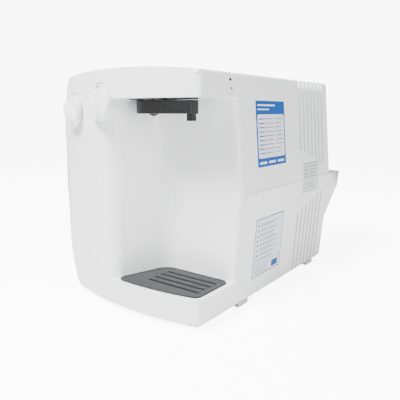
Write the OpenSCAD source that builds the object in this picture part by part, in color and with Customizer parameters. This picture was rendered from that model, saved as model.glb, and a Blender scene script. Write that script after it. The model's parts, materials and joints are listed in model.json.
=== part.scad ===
// Countertop water dispenser: two-part housing with a side-open dispensing niche, swivel spout,
// two knobs, lift-out drip tray, and the cooling and filtering parts inside.
// Millimetres. +Z up, -Y is the front, the origin is under the middle of the machine on the worktop.

/* [Housing] */
// Width across the parting line
body_w = 250; // [220:1:300]
// Depth from the front right corner to the rear face
body_d = 340; // [300:1:400]
// Height over the crown of the lid, feet included
body_h = 300; // [270:1:350]
// Height of the parting line between the two housing halves
seam_z = 150; // [130:1:170]
// Gap under the housing, which is the height of the feet
foot_h = 6; // [4:1:15]
// How much narrower each side is at the top and at the bottom than at the parting line
side_draft = 11; // [4:0.5:16]
// How far the rear face leans out from the top to the parting line
rear_draft = 5; // [2:0.5:8]
// Rise of the crowned top in the middle
crown_rise = 6; // [2:0.5:12]
// Wall thickness of the housing
wall = 3; // [2:0.1:4]
// Width of the shadow gap at the joints of the upper housing
joint_w = 0.8; // [0.4:0.1:1.5]
// Depth of the shadow gap at the joints of the upper housing
joint_t = 1; // [0.5:0.1:1.5]
// How far the front bows out ahead of the right corner
front_bow = 11.2; // [5:0.1:20]
// How far the left corner sits behind the right corner
left_setback = 11; // [4:0.5:18]
// Forward swell of the front between top and bottom
front_swell = 6; // [2:0.5:10]
// Height of the sloped band at the foot and at the head of the front
swell_band = 54; // [40:1:60]
// Rounding of the right long edges
edge_r = 5; // [2:0.5:8]
// Rounding of the upper left long edge
left_top_r = 11; // [4:0.5:16]
// Rounding of the lower left long edge
left_foot_r = 14; // [6:0.5:18]
// How far the rear ledge stands out behind the rear face
ledge_out = 46; // [20:1:60]
// Height of the upright face of the rear ledge
ledge_h = 28; // [15:1:40]
// Height of the sloped underside of the rear ledge
ledge_slope_h = 50; // [30:1:60]

/* [Niche] */
// Height of the niche floor
niche_z = 40; // [34:1:60]
// Clear height of the niche
niche_h = 227; // [180:1:240]
// Depth of the niche back wall behind the front right corner
niche_d = 67; // [50:1:90]
// Rounding of the niche's right edge
niche_edge_r = 8; // [4:0.5:9]
// Rounding of the pillar's front edge
pillar_r = 26; // [15:1:32]
// Sideways place of the pillar rounding, left of the middle
pillar_x = 35; // [28:1:45]
// Radius of the hollow corner between pillar and back wall
cove_r = 22; // [12:1:28]
// Sideways place of the hollow corner's centre
cove_x = 25; // [20:1:32]
// How far the lining sits back from visor and base
liner_step = 1; // [0.5:0.1:1.5]
// Thickness of the lining
liner_t = 2.4; // [1.6:0.1:3]
// Height of the base's upper edge at the left side
base_left_z = 103; // [80:1:120]
// Height where the base's upper edge bends towards the tray
base_bend_z = 80; // [60:1:90]
// Depth of the visor along the side
visor_d = 62; // [50:1:75]
// Height of the visor's lower edge at the left side
visor_left_z = 207; // [190:1:225]
// Height of the visor's lower edge under the right knob
visor_mid_z = 254; // [245:1:258]
// Height of the visor lip below the niche ceiling
visor_lip = 2; // [1:0.5:4]
// Depth of the visor lip from the front
lip_d = 14; // [6:1:16]

/* [Vents] */
// Place of the first groove behind the front right corner
groove_y = 238; // [220:1:250]
// Distance between grooves
groove_pitch = 13.5; // [10:0.5:16]
// Number of grooves on each side
groove_n = 7; // [3:1:7]
// Width of a groove
groove_w = 6; // [3:0.5:8]
// Depth of a groove
groove_t = 5; // [2:0.5:8]
// Height of the notch each groove makes in the top edge
groove_notch = 8; // [4:0.5:12]
// Height of the foot of the first upper groove
groove_up_z = 195; // [180:1:210]
// How much lower each next upper groove ends
groove_up_drop = 4.4; // [0:0.1:6]
// Height of the head of the first lower groove
groove_low_z = 101; // [90:1:115]
// How much higher each next lower groove starts
groove_low_rise = 4; // [0:0.1:6]
// Thickness of the skin behind the grooves
groove_skin = 3; // [2:0.1:4]
// Width of a notch in the top edge
notch_w = 8; // [4:0.5:10]
// Width of an air slot in the rear face
slot_w = 3; // [2:0.5:5]
// Height of an air slot in the rear face
slot_h = 60; // [30:1:80]
// Number of air slots in the rear face
slot_n = 10; // [4:1:12]
// Distance between air slots in the rear face
slot_pitch = 8; // [6:0.5:12]

/* [Drip tray] */
// Distance from the front edge to the tray rim
tray_front = 6; // [4:0.5:12]
// Distance from the side to the tray rim
tray_side = 4; // [3:0.5:8]
// Distance from the niche wall to the tray rim
tray_back = 1; // [0.5:0.5:3]
// Rounding of the tray's corners
tray_corner_r = 9; // [7:0.5:12]
// Depth of the tray below the niche floor
tray_depth = 23; // [15:1:26]
// Thickness of the tray walls
tray_t = 1.8; // [1.2:0.1:2.5]
// Width of the rim that rests on the niche floor
tray_rim = 2.4; // [1.5:0.1:4]
// Height of the rim over the niche floor
rim_h = 1.8; // [1.2:0.1:3]
// Thickness of the grille
grille_t = 2.4; // [1.6:0.1:4]
// Length of a grille slot
grille_slot = 79; // [50:1:85]
// Width of a grille slot
grille_slot_w = 4.5; // [3:0.5:6]
// Distance between grille slots
grille_pitch = 11.7; // [8:0.1:14]
// Number of grille slots
grille_n = 4; // [2:1:5]
// Sideways middle of the grille slots
grille_x = 63; // [50:1:70]
// Place of the first grille slot behind the front right corner
grille_y = 13.5; // [10:0.5:20]

/* [Spout] */
// Sideways place of the spout pivot
pivot_x = 22; // [16:1:30]
// Place of the spout pivot behind the front right corner
pivot_y = 30; // [26:1:36]
// Radius of the spout pivot tube
pivot_r = 8; // [6:0.5:10]
// Radius of the pin under the pivot tube
pivot_pin_r = 5; // [4:0.5:6]
// Bore radius of the pivot tube
pivot_bore_r = 4; // [3:0.5:5]
// Radius of the cap under the pivot
cap_r = 6; // [6:0.1:9]
// Height of the cap under the pivot
cap_h = 3; // [2:0.5:5]
// Radius of the spout hub
hub_r = 20.5; // [14:0.5:22.5]
// Height of the spout arm
arm_h = 15.5; // [10:0.5:18]
// Width of the spout arm
arm_w = 18; // [14:1:24]
// Length of the spout arm from the pivot
arm_len = 63.5; // [50:1:72]
// Rounding of the arm's end corners
arm_end_r = 5; // [2:0.5:8]
// Radius of the water channel in the arm
channel_r = 2.4; // [1.5:0.1:2.8]
// Radius of the plate over the spout
plate_r = 29; // [24:0.5:30]
// Thickness of the plate over the spout
plate_t = 3; // [2:0.5:5]
// Outer radius of the nozzle
nozzle_r = 5.6; // [5:0.1:8]
// Bore radius of the nozzle
nozzle_bore_r = 4; // [3:0.1:5]
// Height of the nozzle below the arm
nozzle_h = 8; // [6:0.5:14]
// Depth of the nozzle's spigot in the arm
spigot_h = 4; // [3:0.5:5]

/* [Knobs] */
// Sideways place of the flow knob, left of the middle
flow_x = 81.7; // [70:0.1:90]
// Height of the flow knob
flow_z = 248.7; // [244:0.1:255]
// Sideways place of the temperature knob, left of the middle
temp_x = 21; // [18:0.1:30]
// Height of the temperature knob
temp_z = 258; // [254:0.1:262]
// Upward lean of the knob axes
knob_lean = 5.2; // [0:0.1:8]
// Radius of a knob
knob_r = 19.7; // [16:0.1:22]
// Height of the knob's rim
knob_h = 6.6; // [5:0.1:9]
// Height of the grip over the knob's face
grip_h = 8; // [5:0.5:12]
// Thickness of the grip
grip_t = 8; // [5:0.5:12]
// Turn of the flow knob's grip from upright
flow_turn = 38; // [0:1:90]
// Turn of the temperature knob's grip from upright
temp_turn = 25; // [0:1:90]
// Gap between a knob and the visor
knob_gap = 1.2; // [0.8:0.1:2]
// Radius of the spindles
spindle_r = 3; // [2:0.1:4]
// Radius of the flow valve body
flow_valve_r = 13; // [10:0.5:16]
// Radius of the temperature valve body
temp_valve_r = 6.4; // [5:0.1:7]
// Length of the flow valve body
flow_valve_len = 30; // [20:1:36]
// Length of the temperature valve body
temp_valve_len = 24; // [20:1:28]
// Radius of the threaded valve noses
nose_r = 5; // [4:0.5:6]
// Radius across the corners of the lock nuts
nut_r = 9; // [7:0.5:11]
// Height of the lock nuts
nut_h = 2.2; // [1.5:0.1:3]

/* [Cooling] */
// Sideways place of the cold tank, left of the middle
tank_x = 40; // [35:1:45]
// Place of the cold tank behind the front right corner
tank_y = 165; // [160:1:175]
// Outer radius of the cold tank
tank_r = 54; // [45:1:56]
// Height of the cold tank
tank_h = 133; // [100:1:136]
// Wall thickness of the cold tank
tank_t = 1.5; // [0.8:0.1:2.5]
// Thickness of the tank lid
lid_t = 6; // [4:0.5:8]
// Thickness of the insulation
foam_t = 12; // [8:0.5:14]
// Height of the stand under the tank
stand_h = 73; // [60:1:80]
// Thickness of the stand's plate
stand_t = 3; // [2:0.5:5]
// Side length of the thermoelectric module
cooler_w = 40; // [30:1:50]
// Thickness of the thermoelectric module
cooler_t = 4; // [3:0.5:6]
// Distance from the tank wall to the module
block_t = 19; // [15:1:22]
// Side length of the heat sink
sink_w = 110; // [90:2:116]
// Thickness of the heat sink's base
sink_t = 6; // [4:0.5:8]
// Height of the heat sink fins
sink_fin_h = 28; // [15:1:32]
// Thickness of a heat sink fin
sink_fin_t = 1.4; // [1:0.1:2]
// Number of heat sink fins
sink_fin_n = 17; // [9:1:19]
// Side length of the fan
fan_w = 92; // [80:1:100]
// Thickness of the fan
fan_t = 25; // [20:1:28]
// Radius of the fan's hub
fan_hub_r = 17; // [12:0.5:20]
// Number of fan blades
fan_blades = 7; // [5:1:9]
// Thickness of a fan blade
blade_t = 1.6; // [1:0.1:3]
// Pitch angle of a fan blade
blade_pitch = 32; // [20:1:45]
// Radius of the fan's shaft
fan_shaft_r = 2; // [1.5:0.1:3]

/* [Water and power] */
// Sideways place of the filter
filter_x = 72; // [68:1:76]
// Place of the filter behind the front right corner
filter_y = 125; // [120:1:135]
// Radius of the filter
filter_r = 31; // [25:1:33]
// Height of the filter
filter_h = 222; // [180:1:226]
// Radius of the filter head
head_r = 22; // [18:1:26]
// Height of the filter head
head_h = 22; // [16:1:28]
// Distance between the two ports of the filter head
port_gap = 18; // [14:1:22]
// Outer radius of the water tubes
tube_r = 3.2; // [2.5:0.1:4]
// Bore radius of the water tubes
tube_bore_r = 2.1; // [1.5:0.1:2.8]
// Height of the lower tube level
tube_z = 268; // [264:1:270]
// Distance between the two tube levels
tube_step = 9; // [8:0.5:10]
// Sideways place of the water inlet
inlet_x = 80; // [60:1:88]
// Height of the water inlet
inlet_z = 35; // [28:1:45]
// Outer radius of the inlet fitting
inlet_r = 8; // [7:0.5:10]
// Bore radius of the inlet fitting, for a pushed-in supply tube
inlet_bore_r = 3.2; // [3:0.1:5]
// Radius of the inlet flange
inlet_flange_r = 13; // [11:0.5:16]
// Length of the inlet fitting outside the rear face
inlet_out = 10; // [6:0.5:14]
// Sideways place of the cord gland, left of the middle
gland_x = 70; // [50:1:90]
// Outer radius of the cord gland
gland_r = 7; // [6:0.5:10]
// Bore radius of the cord gland
gland_bore_r = 3.6; // [3:0.1:5]
// Length of the cord gland outside the rear face
gland_out = 6; // [4:0.5:10]
// Width of the power supply
psu_w = 90; // [60:1:94]
// Depth of the power supply
psu_d = 90; // [60:1:94]
// Height of the power supply
psu_h = 40; // [25:1:45]
// Height of the spacers under the control board
spacer_h = 6; // [4:0.5:8]
// Thickness of the control board
board_t = 1.6; // [1:0.1:2]
// Height of the tallest part on the control board
chip_h = 10; // [6:1:14]

/* [Fasteners and feet] */
// Sideways place of the case screws
boss_x = 105; // [100:1:108]
// Place of the front case screws behind the front right corner
boss_front_y = 84; // [80:1:88]
// Distance of the rear case screws from the rear face
boss_rear = 20; // [16:1:24]
// Radius of the screw bosses
boss_r = 5.5; // [5:0.1:6.5]
// Shank radius of the case screws
screw_r = 1.9; // [1.5:0.1:2.5]
// Head radius of the case screws
screw_head_r = 3.8; // [3:0.1:4.3]
// Head height of the case screws
screw_head_h = 3; // [2:0.1:4]
// Depth of the screw pockets under the base
screw_pocket = 14; // [8:1:20]
// Grip of the case screws in the upper housing
screw_grip = 22; // [12:1:40]
// Half the width of a foot
foot_r = 12; // [8:0.5:14]
// Sideways place of the right feet
foot_right_x = 101; // [90:1:101]
// Sideways place of the left feet, left of the middle
foot_left_x = 86; // [70:1:88]
// Place of the front feet behind the front right corner
foot_front_y = 97; // [80:1:110]
// Distance of the rear feet from the rear face
foot_rear = 33; // [25:1:60]
// Head radius of the fan screws
fan_head_r = 3.4; // [3:0.1:4]
// Radius of the visor's side pin
pin_r = 1.8; // [1:0.1:3]

/* [Labels] */
// Thickness of the labels
label_t = 0.3; // [0.2:0.05:0.6]
// Width of the two large labels
label_w = 77; // [50:1:90]
// Height of the upper label
label_up_h = 83; // [60:1:90]
// Height of the lower label
label_low_h = 81; // [60:1:85]
// Place of the large labels behind the front right corner
label_y = 111; // [90:1:120]
// Height of the upper label's lower edge
label_up_z = 180.5; // [170:0.5:190]
// Height of the lower label's lower edge
label_low_z = 32; // [25:1:40]
// Width of the rating label
rating_w = 53; // [30:1:60]
// Height of the rating label
rating_h = 44; // [30:1:50]
// Place of the rating label behind the front right corner
rating_y = 245; // [230:1:260]
// Height of the rating label's lower edge
rating_z = 130; // [120:1:140]

/* [Fits] */
// Gap between parts that move past each other
gap = 0.3; // [0.2:0.05:0.6]
// Radial clearance of a turning fit
run_fit = 0.05; // [0.02:0.01:0.1]
// Radial clearance of a part that passes through a wall
pass_fit = 0.2; // [0.1:0.05:0.5]
// Cross-section radius of a sealing ring
seal_r = 1; // [0.6:0.1:1.5]

/* [Hidden] */
$fn = 64;
fine = 180;
far = 400;
bevel = 6;
// Heights and half widths of the housing
side_x = body_w / 2;
end_x = side_x - side_draft;
top_z = body_h - crown_rise;
crown_r = (end_x * end_x + crown_rise * crown_rise) / (2 * crown_rise);
rear_y = body_d + rear_draft;
ledge_y = rear_y + ledge_out;
ledge_top = seam_z - gap;
// The front is part of a large upright barrel
bow_k = sqrt((front_bow + left_setback) / front_bow);
bow_x = (end_x * bow_k - end_x) / (1 + bow_k);
bow_r = ((end_x - bow_x) * (end_x - bow_x) + front_bow * front_bow) / (2 * front_bow);
bow_y = bow_r - front_bow;
swell_edge = swell_band * 0.6;
swell_part = front_swell * 0.67;
notch_x = end_x - groove_t;
// Plan of the niche wall
niche_top = niche_z + niche_h;
base_joint = niche_d + wall + gap;
side_lean = atan(side_draft / (seam_z - foot_h));
round_x = -pillar_x;
round_d = bow_r + front_swell - pillar_r;
round_y = bow_y - sqrt(round_d * round_d - (round_x - bow_x) * (round_x - bow_x));
round_a = atan2(round_y - bow_y, round_x - bow_x);
cove_y = niche_d - cove_r;
span_x = cove_x - round_x;
span_y = cove_y - round_y;
span = sqrt(span_x * span_x + span_y * span_y);
wall_a = atan2(span_y, span_x) - acos((pillar_r + cove_r) / span);
// Drip tray and grille
tray_z = niche_z - tray_depth;
rim_z = niche_z + gap;
grille_z = rim_z + rim_h - grille_t - gap;
tray_in = tray_rim + gap + tray_t;
// Spout
arm_top = niche_top - plate_t - 3 * gap;
arm_z = arm_top - arm_h;
channel_z = arm_top - 2 * seal_r - 2 * gap - channel_r - gap;
pin_h = 3;
neck_a = 50;
seal_z = [arm_z + pin_h + 2 * gap + seal_r, arm_top - gap - seal_r];
nozzle_x = pivot_x + arm_len - nozzle_r;
pivot_top = niche_top + wall + 5;
// Knobs
front_knob_y = knob_y(-temp_x, temp_z);
knob_face = knob_gap + knob_h;
grip_arc = (knob_r * knob_r + grip_h * grip_h) / (2 * grip_h);
valve_seat = wall + 3 * gap;
flow_port_d = flow_valve_len * 0.6;
temp_port_d = [valve_seat + tube_r * 1.4, temp_valve_len];
knob_reach = (knob_face + grip_h) * cos(knob_lean);
// Middle of the machine from front to back, where the origin is
mid_y = (ledge_y + front_knob_y - knob_reach) / 2;
// Cooling
foam_z = foot_h + wall + stand_h;
tank_z = foam_z + foam_t;
lid_z = tank_z + tank_h;
cool_z = tank_z + tank_h / 2;
module_y = tank_y + tank_r + block_t;
sink_y = module_y + cooler_t;
fan_y = sink_y + sink_t + sink_fin_h;
foam_r = tank_r + foam_t;
foam_top = lid_z + lid_t + foam_t - 2;
leg_w = 8;
stand_w = 2 * foam_r - 2 * leg_w;
// Water and power
floor_z = foot_h + wall;
filter_z = floor_z;
head_z = filter_z + filter_h;
high_z = tube_z + tube_step;
psu_y = tank_y - psu_d / 2;
board_z = floor_z + psu_h + spacer_h;
boss_rear_y = body_d - boss_rear;
foot_rear_y = body_d - foot_rear;

// Points along an arc, and along a curve from p to r that leans towards q
function arc(cx, cy, r, a, b, n) = [for (i = [0:n]) let (t = a + (b - a) * i / n)
    [cx + r * cos(t), cy + r * sin(t)]];
function bend(p, q, r, n) = [for (i = [0:n]) let (t = i / n)
    p * (1 - t) * (1 - t) + q * 2 * t * (1 - t) + r * t * t];
function toward(p, q, d) = p + (q - p) * d / norm(q - p);
function rounded(p, q, r, d) = bend(toward(q, p, d), q, toward(q, r, d), bevel);
// Swell of the front at a height, and the front surface at a point
function swell(z) = lookup(z, [[foot_h, 0], [foot_h + swell_edge, swell_part],
    [foot_h + swell_band, front_swell], [top_z - swell_band, front_swell],
    [top_z - swell_edge, swell_part], [top_z, 0]]);
function knob_y(x, z) = bow_y - sqrt(pow(bow_r + swell(z), 2) - pow(x - bow_x, 2));
function knob_a(x, z) = asin((x - bow_x) / (bow_r + swell(z)));
// A point at a distance along a knob's axis, outwards
function knob_at(x, z, d) = [x + d * sin(knob_a(x, z)) * cos(knob_lean),
    knob_y(x, z) - d * cos(knob_a(x, z)) * cos(knob_lean), z + d * sin(knob_lean)];

// Everything is drawn with the front right corner at y = 0, then moved so the origin is central
module placed() translate([0, -mid_y, 0]) children();
module at_knob(x, z) translate([x, knob_y(x, z), z]) rotate([0, 0, knob_a(x, z)])
    rotate([90 - knob_lean, 0, 0]) children();
module box(a, b) translate(a) cube(b - a);
module ring(r, bore, h) difference() {
    cylinder(r = r, h = h);
    translate([0, 0, -1]) cylinder(r = bore, h = h + 2);
}
module along_y(y0, y1) translate([0, y1, 0]) rotate([90, 0, 0]) linear_extrude(y1 - y0) children();
module along_x(x0, x1) translate([x0, 0, 0]) rotate([90, 0, 90]) linear_extrude(x1 - x0) children();
module rod(p, q, r) {
    d = q - p;
    translate(p) rotate([0, acos(d[2] / norm(d)), atan2(d[1], d[0])]) cylinder(r = r, h = norm(d));
}
// Water tube with a ball elbow at every turn
module tube(pts) difference() {
    union() {
        for (i = [0:len(pts) - 2]) rod(pts[i], pts[i + 1], tube_r);
        for (i = [1:len(pts) - 2]) translate(pts[i]) sphere(tube_r * 1.15);
    }
    for (i = [0:len(pts) - 2]) rod(pts[i], pts[i + 1], tube_bore_r);
    for (i = [1:len(pts) - 2]) translate(pts[i]) sphere(tube_bore_r * 1.1);
}

// Outline of the housing seen from the front, drawn in by o
module front_outline(o) {
    a = [end_x - o, foot_h + o];
    b = [side_x - o, seam_z];
    c = [end_x - o, top_z - o];
    d = [-end_x + o, top_z - o];
    e = [-side_x + o, seam_z];
    f = [-end_x + o, foot_h + o];
    lean = asin((end_x - o - edge_r) / (crown_r - o));
    lean_left = asin((end_x - o - left_top_r) / (crown_r - o));
    crown = arc(0, body_h - crown_r, crown_r - o, 90 - lean, 90 + lean_left, bevel * 2);
    last = len(crown) - 1;
    polygon(concat(rounded(f, a, b, edge_r), [b], bend(toward(c, b, edge_r), c, crown[0], bevel),
        [for (i = [1:last - 1]) crown[i]], bend(crown[last], d, toward(d, e, left_top_r), bevel),
        [e], rounded(e, f, a, left_foot_r)));
}
// Outline of the housing seen from the side, drawn in by o
module side_outline(o) {
    r = rear_y - o;
    polygon([[-far, -far], [r, -far], [r, seam_z - ledge_h - ledge_slope_h - edge_r],
        [r + edge_r / 2, seam_z - ledge_h - ledge_slope_h + edge_r],
        [ledge_y - o - edge_r, seam_z - ledge_h - edge_r / 2 + o / 2],
        [ledge_y - o, seam_z - ledge_h + edge_r / 2], [ledge_y - o, ledge_top - o - edge_r / 2],
        [ledge_y - o - edge_r / 2, ledge_top - o], [r, ledge_top - o],
        [body_d - o, top_z - edge_r - o], [body_d - o - edge_r / 3, top_z - o],
        [body_d - o - edge_r * 1.4, body_h - o], [body_d - o - edge_r * 1.4, far], [-far, far]]);
}
// The upright barrel whose surface is the front
module front_barrel(o) translate([bow_x, bow_y, 0]) rotate_extrude($fn = fine)
    polygon([[0, -foot_h], [bow_r - o, -foot_h], [bow_r - o, foot_h],
        [bow_r + swell_part - o, foot_h + swell_edge], [bow_r + front_swell - o, foot_h + swell_band],
        [bow_r + front_swell - o, top_z - swell_band], [bow_r + swell_part - o, top_z - swell_edge],
        [bow_r - o, top_z], [bow_r - o, far], [0, far]]);
module niche_plan(g) {
    n = [cos(round_a), sin(round_a)];
    p = [round_x, round_y] + n * (pillar_r - g);
    polygon(concat([[far, niche_d + g]], arc(cove_x, cove_y, cove_r + g, 90, wall_a + 180, bevel * 2),
        arc(round_x, round_y, pillar_r - g, wall_a, round_a, bevel * 3),
        [p + [n[1], -n[0]] * far, [-far, -far], [far, -far]]));
}
module niche_space(g) translate([0, 0, niche_z - g]) linear_extrude(niche_h + 2 * g) niche_plan(g);
module housing_block(o) intersection() {
    along_y(-side_x, ledge_y + side_x) front_outline(o);
    along_x(-body_w, body_w) side_outline(o);
    front_barrel(o);
}
// Rounds the edge between the niche's back wall and the right side, which leans both ways
module niche_edge(o) for (s = [0, 1]) translate([side_x - o, niche_d + o, seam_z])
    mirror([0, 0, s]) rotate([0, -side_lean, 0]) difference() {
        translate([-niche_edge_r + o, -niche_edge_r, -side_draft])
            cube([2 * niche_edge_r, 2 * niche_edge_r - o, niche_top - seam_z + side_draft]);
        translate([-niche_edge_r + o, niche_edge_r - o, -2 * side_draft])
            cylinder(r = niche_edge_r - o, h = body_h);
    }
module housing_form(o) difference() {
    housing_block(o);
    niche_space(o);
    intersection() {
        niche_edge(o);
        box([0, 0, niche_z - o], [far, far, niche_top + o]);
    }
}
module housing_skin(o, t) difference() {
    housing_form(o);
    housing_form(o + t);
}
// Fronts of the base and the visor, as areas seen from the front
module base_area() polygon(concat([[far, -far], [far, niche_z]],
    bend([round_x + pillar_r - 2, niche_z], [round_x, base_bend_z],
        [-side_x * 0.72, (base_bend_z + base_left_z) / 2], bevel * 2),
    [[-side_x, base_left_z], [-far, base_left_z], [-far, -far]]));
module visor_area() {
    polygon(concat([[far, far], [far, niche_top - visor_lip], [0, niche_top - visor_lip]],
        bend([-pillar_x / 8, niche_top - visor_lip], [-pillar_x / 3, visor_mid_z + visor_lip],
            [-temp_x, visor_mid_z], bevel),
        bend([-temp_x * 2, visor_mid_z - visor_lip * 2], [-flow_x + temp_x, visor_mid_z - visor_lip * 5],
            [-side_x, visor_left_z], bevel * 2), [[-far, visor_left_z], [-far, far]]));
    translate([-temp_x, temp_z]) circle(r = knob_r * 0.7);
}
module visor_zone() along_y(-far, visor_d) visor_area();
// Solid lip of the visor, ahead of the pillar and along the niche's upper edge
module visor_chin() intersection() {
    housing_block(0);
    difference() {
        front_barrel(0);
        front_barrel(lip_d);
    }
    translate([0, 0, niche_z]) linear_extrude(niche_h + wall / 2) niche_plan(wall / 2);
    visor_zone();
}
module lining_zone() difference() {
    union() {
        box([-far, -far, -far], [0, visor_d, far]);
        box([0, -far, niche_z - foot_h], [far, niche_d + niche_edge_r + 1, niche_top + foot_h]);
    }
    along_y(-far, far) base_area();
    visor_zone();
    box([0, visor_d - 1, niche_top - visor_lip], [far, far, far]);
}
module every_boss() for (s = [-1, 1], y = [boss_front_y, boss_rear_y])
    translate([s * boss_x, y, 0]) children();
module vent_backing(z0, z1) for (s = [-1, 1]) intersection() {
    housing_form(wall / 2);
    box([s * end_x - wall - groove_t - groove_skin, groove_y - groove_pitch, z0],
        [s * end_x + wall + groove_t + groove_skin, rear_y - wall, z1]);
}
// Grooves of both sides: from z0 + i * dz up to z1
module grooves(z0, dz, z1, d1) for (s = [0, 1], i = [0:groove_n - 1]) mirror([s, 0, 0])
    box([end_x - groove_t, groove_y + i * groove_pitch - groove_w / 2, z0 + i * dz],
        [far, groove_y + i * groove_pitch + groove_w / 2, z1 + i * d1]);
module tray_plan(g) offset(r = tray_corner_r - g) offset(delta = -tray_corner_r) intersection() {
    niche_plan(-tray_back);
    translate([bow_x, bow_y]) circle(r = bow_r - tray_front + swell_part, $fn = fine);
    translate([-body_w, -body_w / 2]) square([body_w + end_x - tray_side, body_w]);
}

// Housing
module lower_shell() difference() {
    union() {
        intersection() {
            difference() {
                housing_skin(0, wall);
                lining_zone();
            }
            union() {
                box([-far, -far, -far], [far, far, seam_z]);
                along_y(-far, visor_d) base_area();
            }
        }
        intersection() {
            vent_backing(foot_h, groove_low_z + groove_n * groove_low_rise + groove_pitch);
            box([-far, -far, -far], [far, far, seam_z]);
        }
        every_boss() translate([0, 0, foot_h]) cylinder(r = boss_r, h = seam_z - foot_h);
        translate([filter_x, filter_y, foot_h]) ring(filter_r + wall, filter_r + pass_fit, wall * 6);
    }
    grooves(-foot_h, 0, groove_low_z, groove_low_rise);
    every_boss() {
        translate([0, 0, -foot_h]) cylinder(r = screw_r + pass_fit * 2, h = far);
        translate([0, 0, -foot_h]) cylinder(r = screw_head_r + pass_fit, h = 2 * foot_h + screw_pocket);
    }
    translate([0, 0, tray_z - 1]) linear_extrude(far) tray_plan(tray_rim);
    translate([inlet_x, rear_y - wall * 4, inlet_z]) rotate([-90, 0, 0])
        cylinder(r = inlet_r, h = wall * 8);
    translate([-gland_x, rear_y - wall * 4, inlet_z]) rotate([-90, 0, 0])
        cylinder(r = gland_r, h = wall * 8);
}
module base_front() color("#EDEEF0") placed() intersection() {
    lower_shell();
    box([-far, -far, -far], [far, base_joint, far]);
}
module lower_housing() color("#EDEEF0") placed() intersection() {
    lower_shell();
    box([-far, base_joint, -far], [far, far, far]);
}
module upper_housing() color("#EDEEF0") placed() {
    difference() {
        union() {
            intersection() {
                difference() {
                    housing_skin(0, wall);
                    lining_zone();
                    visor_zone();
                    along_y(-far, visor_d) base_area();
                }
                box([-far, -far, seam_z], [far, far, far]);
            }
            vent_backing(seam_z, body_h);
            intersection() {
                housing_form(wall / 2);
                every_boss() translate([0, 0, seam_z]) {
                    cylinder(r = boss_r, h = screw_grip + boss_r);
                    box([-wall / 3, -wall / 3, 0], [wall / 3, boss_r * 4, screw_grip]);
                    box([-boss_r * 3.5, -wall / 3, 0], [boss_r * 3.5, wall / 3, screw_grip]);
                }
                box([-far, visor_d + 1, seam_z], [far, far, far]);
            }
        }
        difference() {
            union() {
                box([-far, visor_d - 1, seam_z - 1], [far, far, seam_z + joint_w]);
                box([-far, -far, seam_z - 1], [far, visor_d + joint_w, far]);
            }
            housing_form(joint_t);
        }
        grooves(groove_up_z, -groove_up_drop, far, 0);
        grooves_top();
        every_boss() translate([0, 0, seam_z - 1]) cylinder(r = screw_r, h = screw_grip + 1);
        for (i = [0:slot_n - 1]) translate([-tank_x + (i - (slot_n - 1) / 2) * slot_pitch - slot_w / 2,
            body_d - wall * 3, cool_z - slot_h / 2 + wall * 2]) cube([slot_w, wall * 6, slot_h]);
    }
}
module grooves_top() for (s = [0, 1], i = [0:groove_n - 1]) mirror([s, 0, 0])
    along_y(groove_y + i * groove_pitch - notch_w / 2, groove_y + i * groove_pitch + notch_w / 2)
        polygon([[far, top_z - groove_notch * 1.5], [notch_x, top_z - groove_notch * 1.5],
            [notch_x - groove_notch * 0.9, top_z + 1], [notch_x - groove_notch * 0.9, far], [far, far]]);
module front_visor() color("#EDEEF0") placed() {
    difference() {
        union() {
            intersection() {
                housing_skin(0, wall);
                visor_zone();
            }
            visor_chin();
        }
        at_knob(-temp_x, temp_z) translate([0, 0, -valve_seat - temp_valve_len - wall])
            cylinder(r = temp_valve_r + pass_fit, h = temp_valve_len + wall);
        for (d = temp_port_d) translate(knob_at(-temp_x, temp_z, -d))
            cylinder(r = tube_r + pass_fit, h = tube_z + wall - temp_z);
        at_knob(-flow_x, flow_z) translate([0, 0, -wall * 3]) cylinder(r = nose_r + pass_fit, h = wall * 6);
        at_knob(-temp_x, temp_z) translate([0, 0, -wall * 3]) cylinder(r = nose_r + pass_fit, h = wall * 6);
        translate([pivot_x, pivot_y, niche_top - 1]) cylinder(r = pivot_r + pass_fit, h = wall + 2);
        translate([side_x, visor_d - wall, niche_top + wall * 3]) rotate([0, -90, 0])
            cylinder(r = pin_r, h = wall * 6);
    }
}
module niche_lining() color("#F2F3F4") placed() intersection() {
    housing_skin(liner_step, liner_t);
    lining_zone();
}
// Drip tray
module drip_tray() color("#6C6F72") placed() difference() {
    union() {
        translate([0, 0, tray_z]) linear_extrude(rim_z + rim_h - tray_z) tray_plan(tray_rim + gap);
        translate([0, 0, rim_z]) linear_extrude(rim_h) tray_plan(0);
    }
    difference() {
        translate([0, 0, tray_z + tray_t]) linear_extrude(far) tray_plan(tray_in);
        translate([0, 0, tray_z]) linear_extrude(grille_z - gap - tray_z) difference() {
            tray_plan(0);
            tray_plan(tray_in + tray_t);
        }
    }
}
module drip_grille() color("#6C6F72") placed() difference() {
    translate([0, 0, grille_z]) linear_extrude(grille_t) tray_plan(tray_in + gap);
    for (i = [0:grille_n - 1]) translate([grille_x, grille_y + i * grille_pitch, grille_z - 1])
        linear_extrude(grille_t + 2) {
            square([grille_slot - grille_slot_w, grille_slot_w], center = true);
            for (s = [-1, 1]) translate([s * (grille_slot - grille_slot_w) / 2, 0])
                circle(r = grille_slot_w / 2);
        }
}
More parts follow.
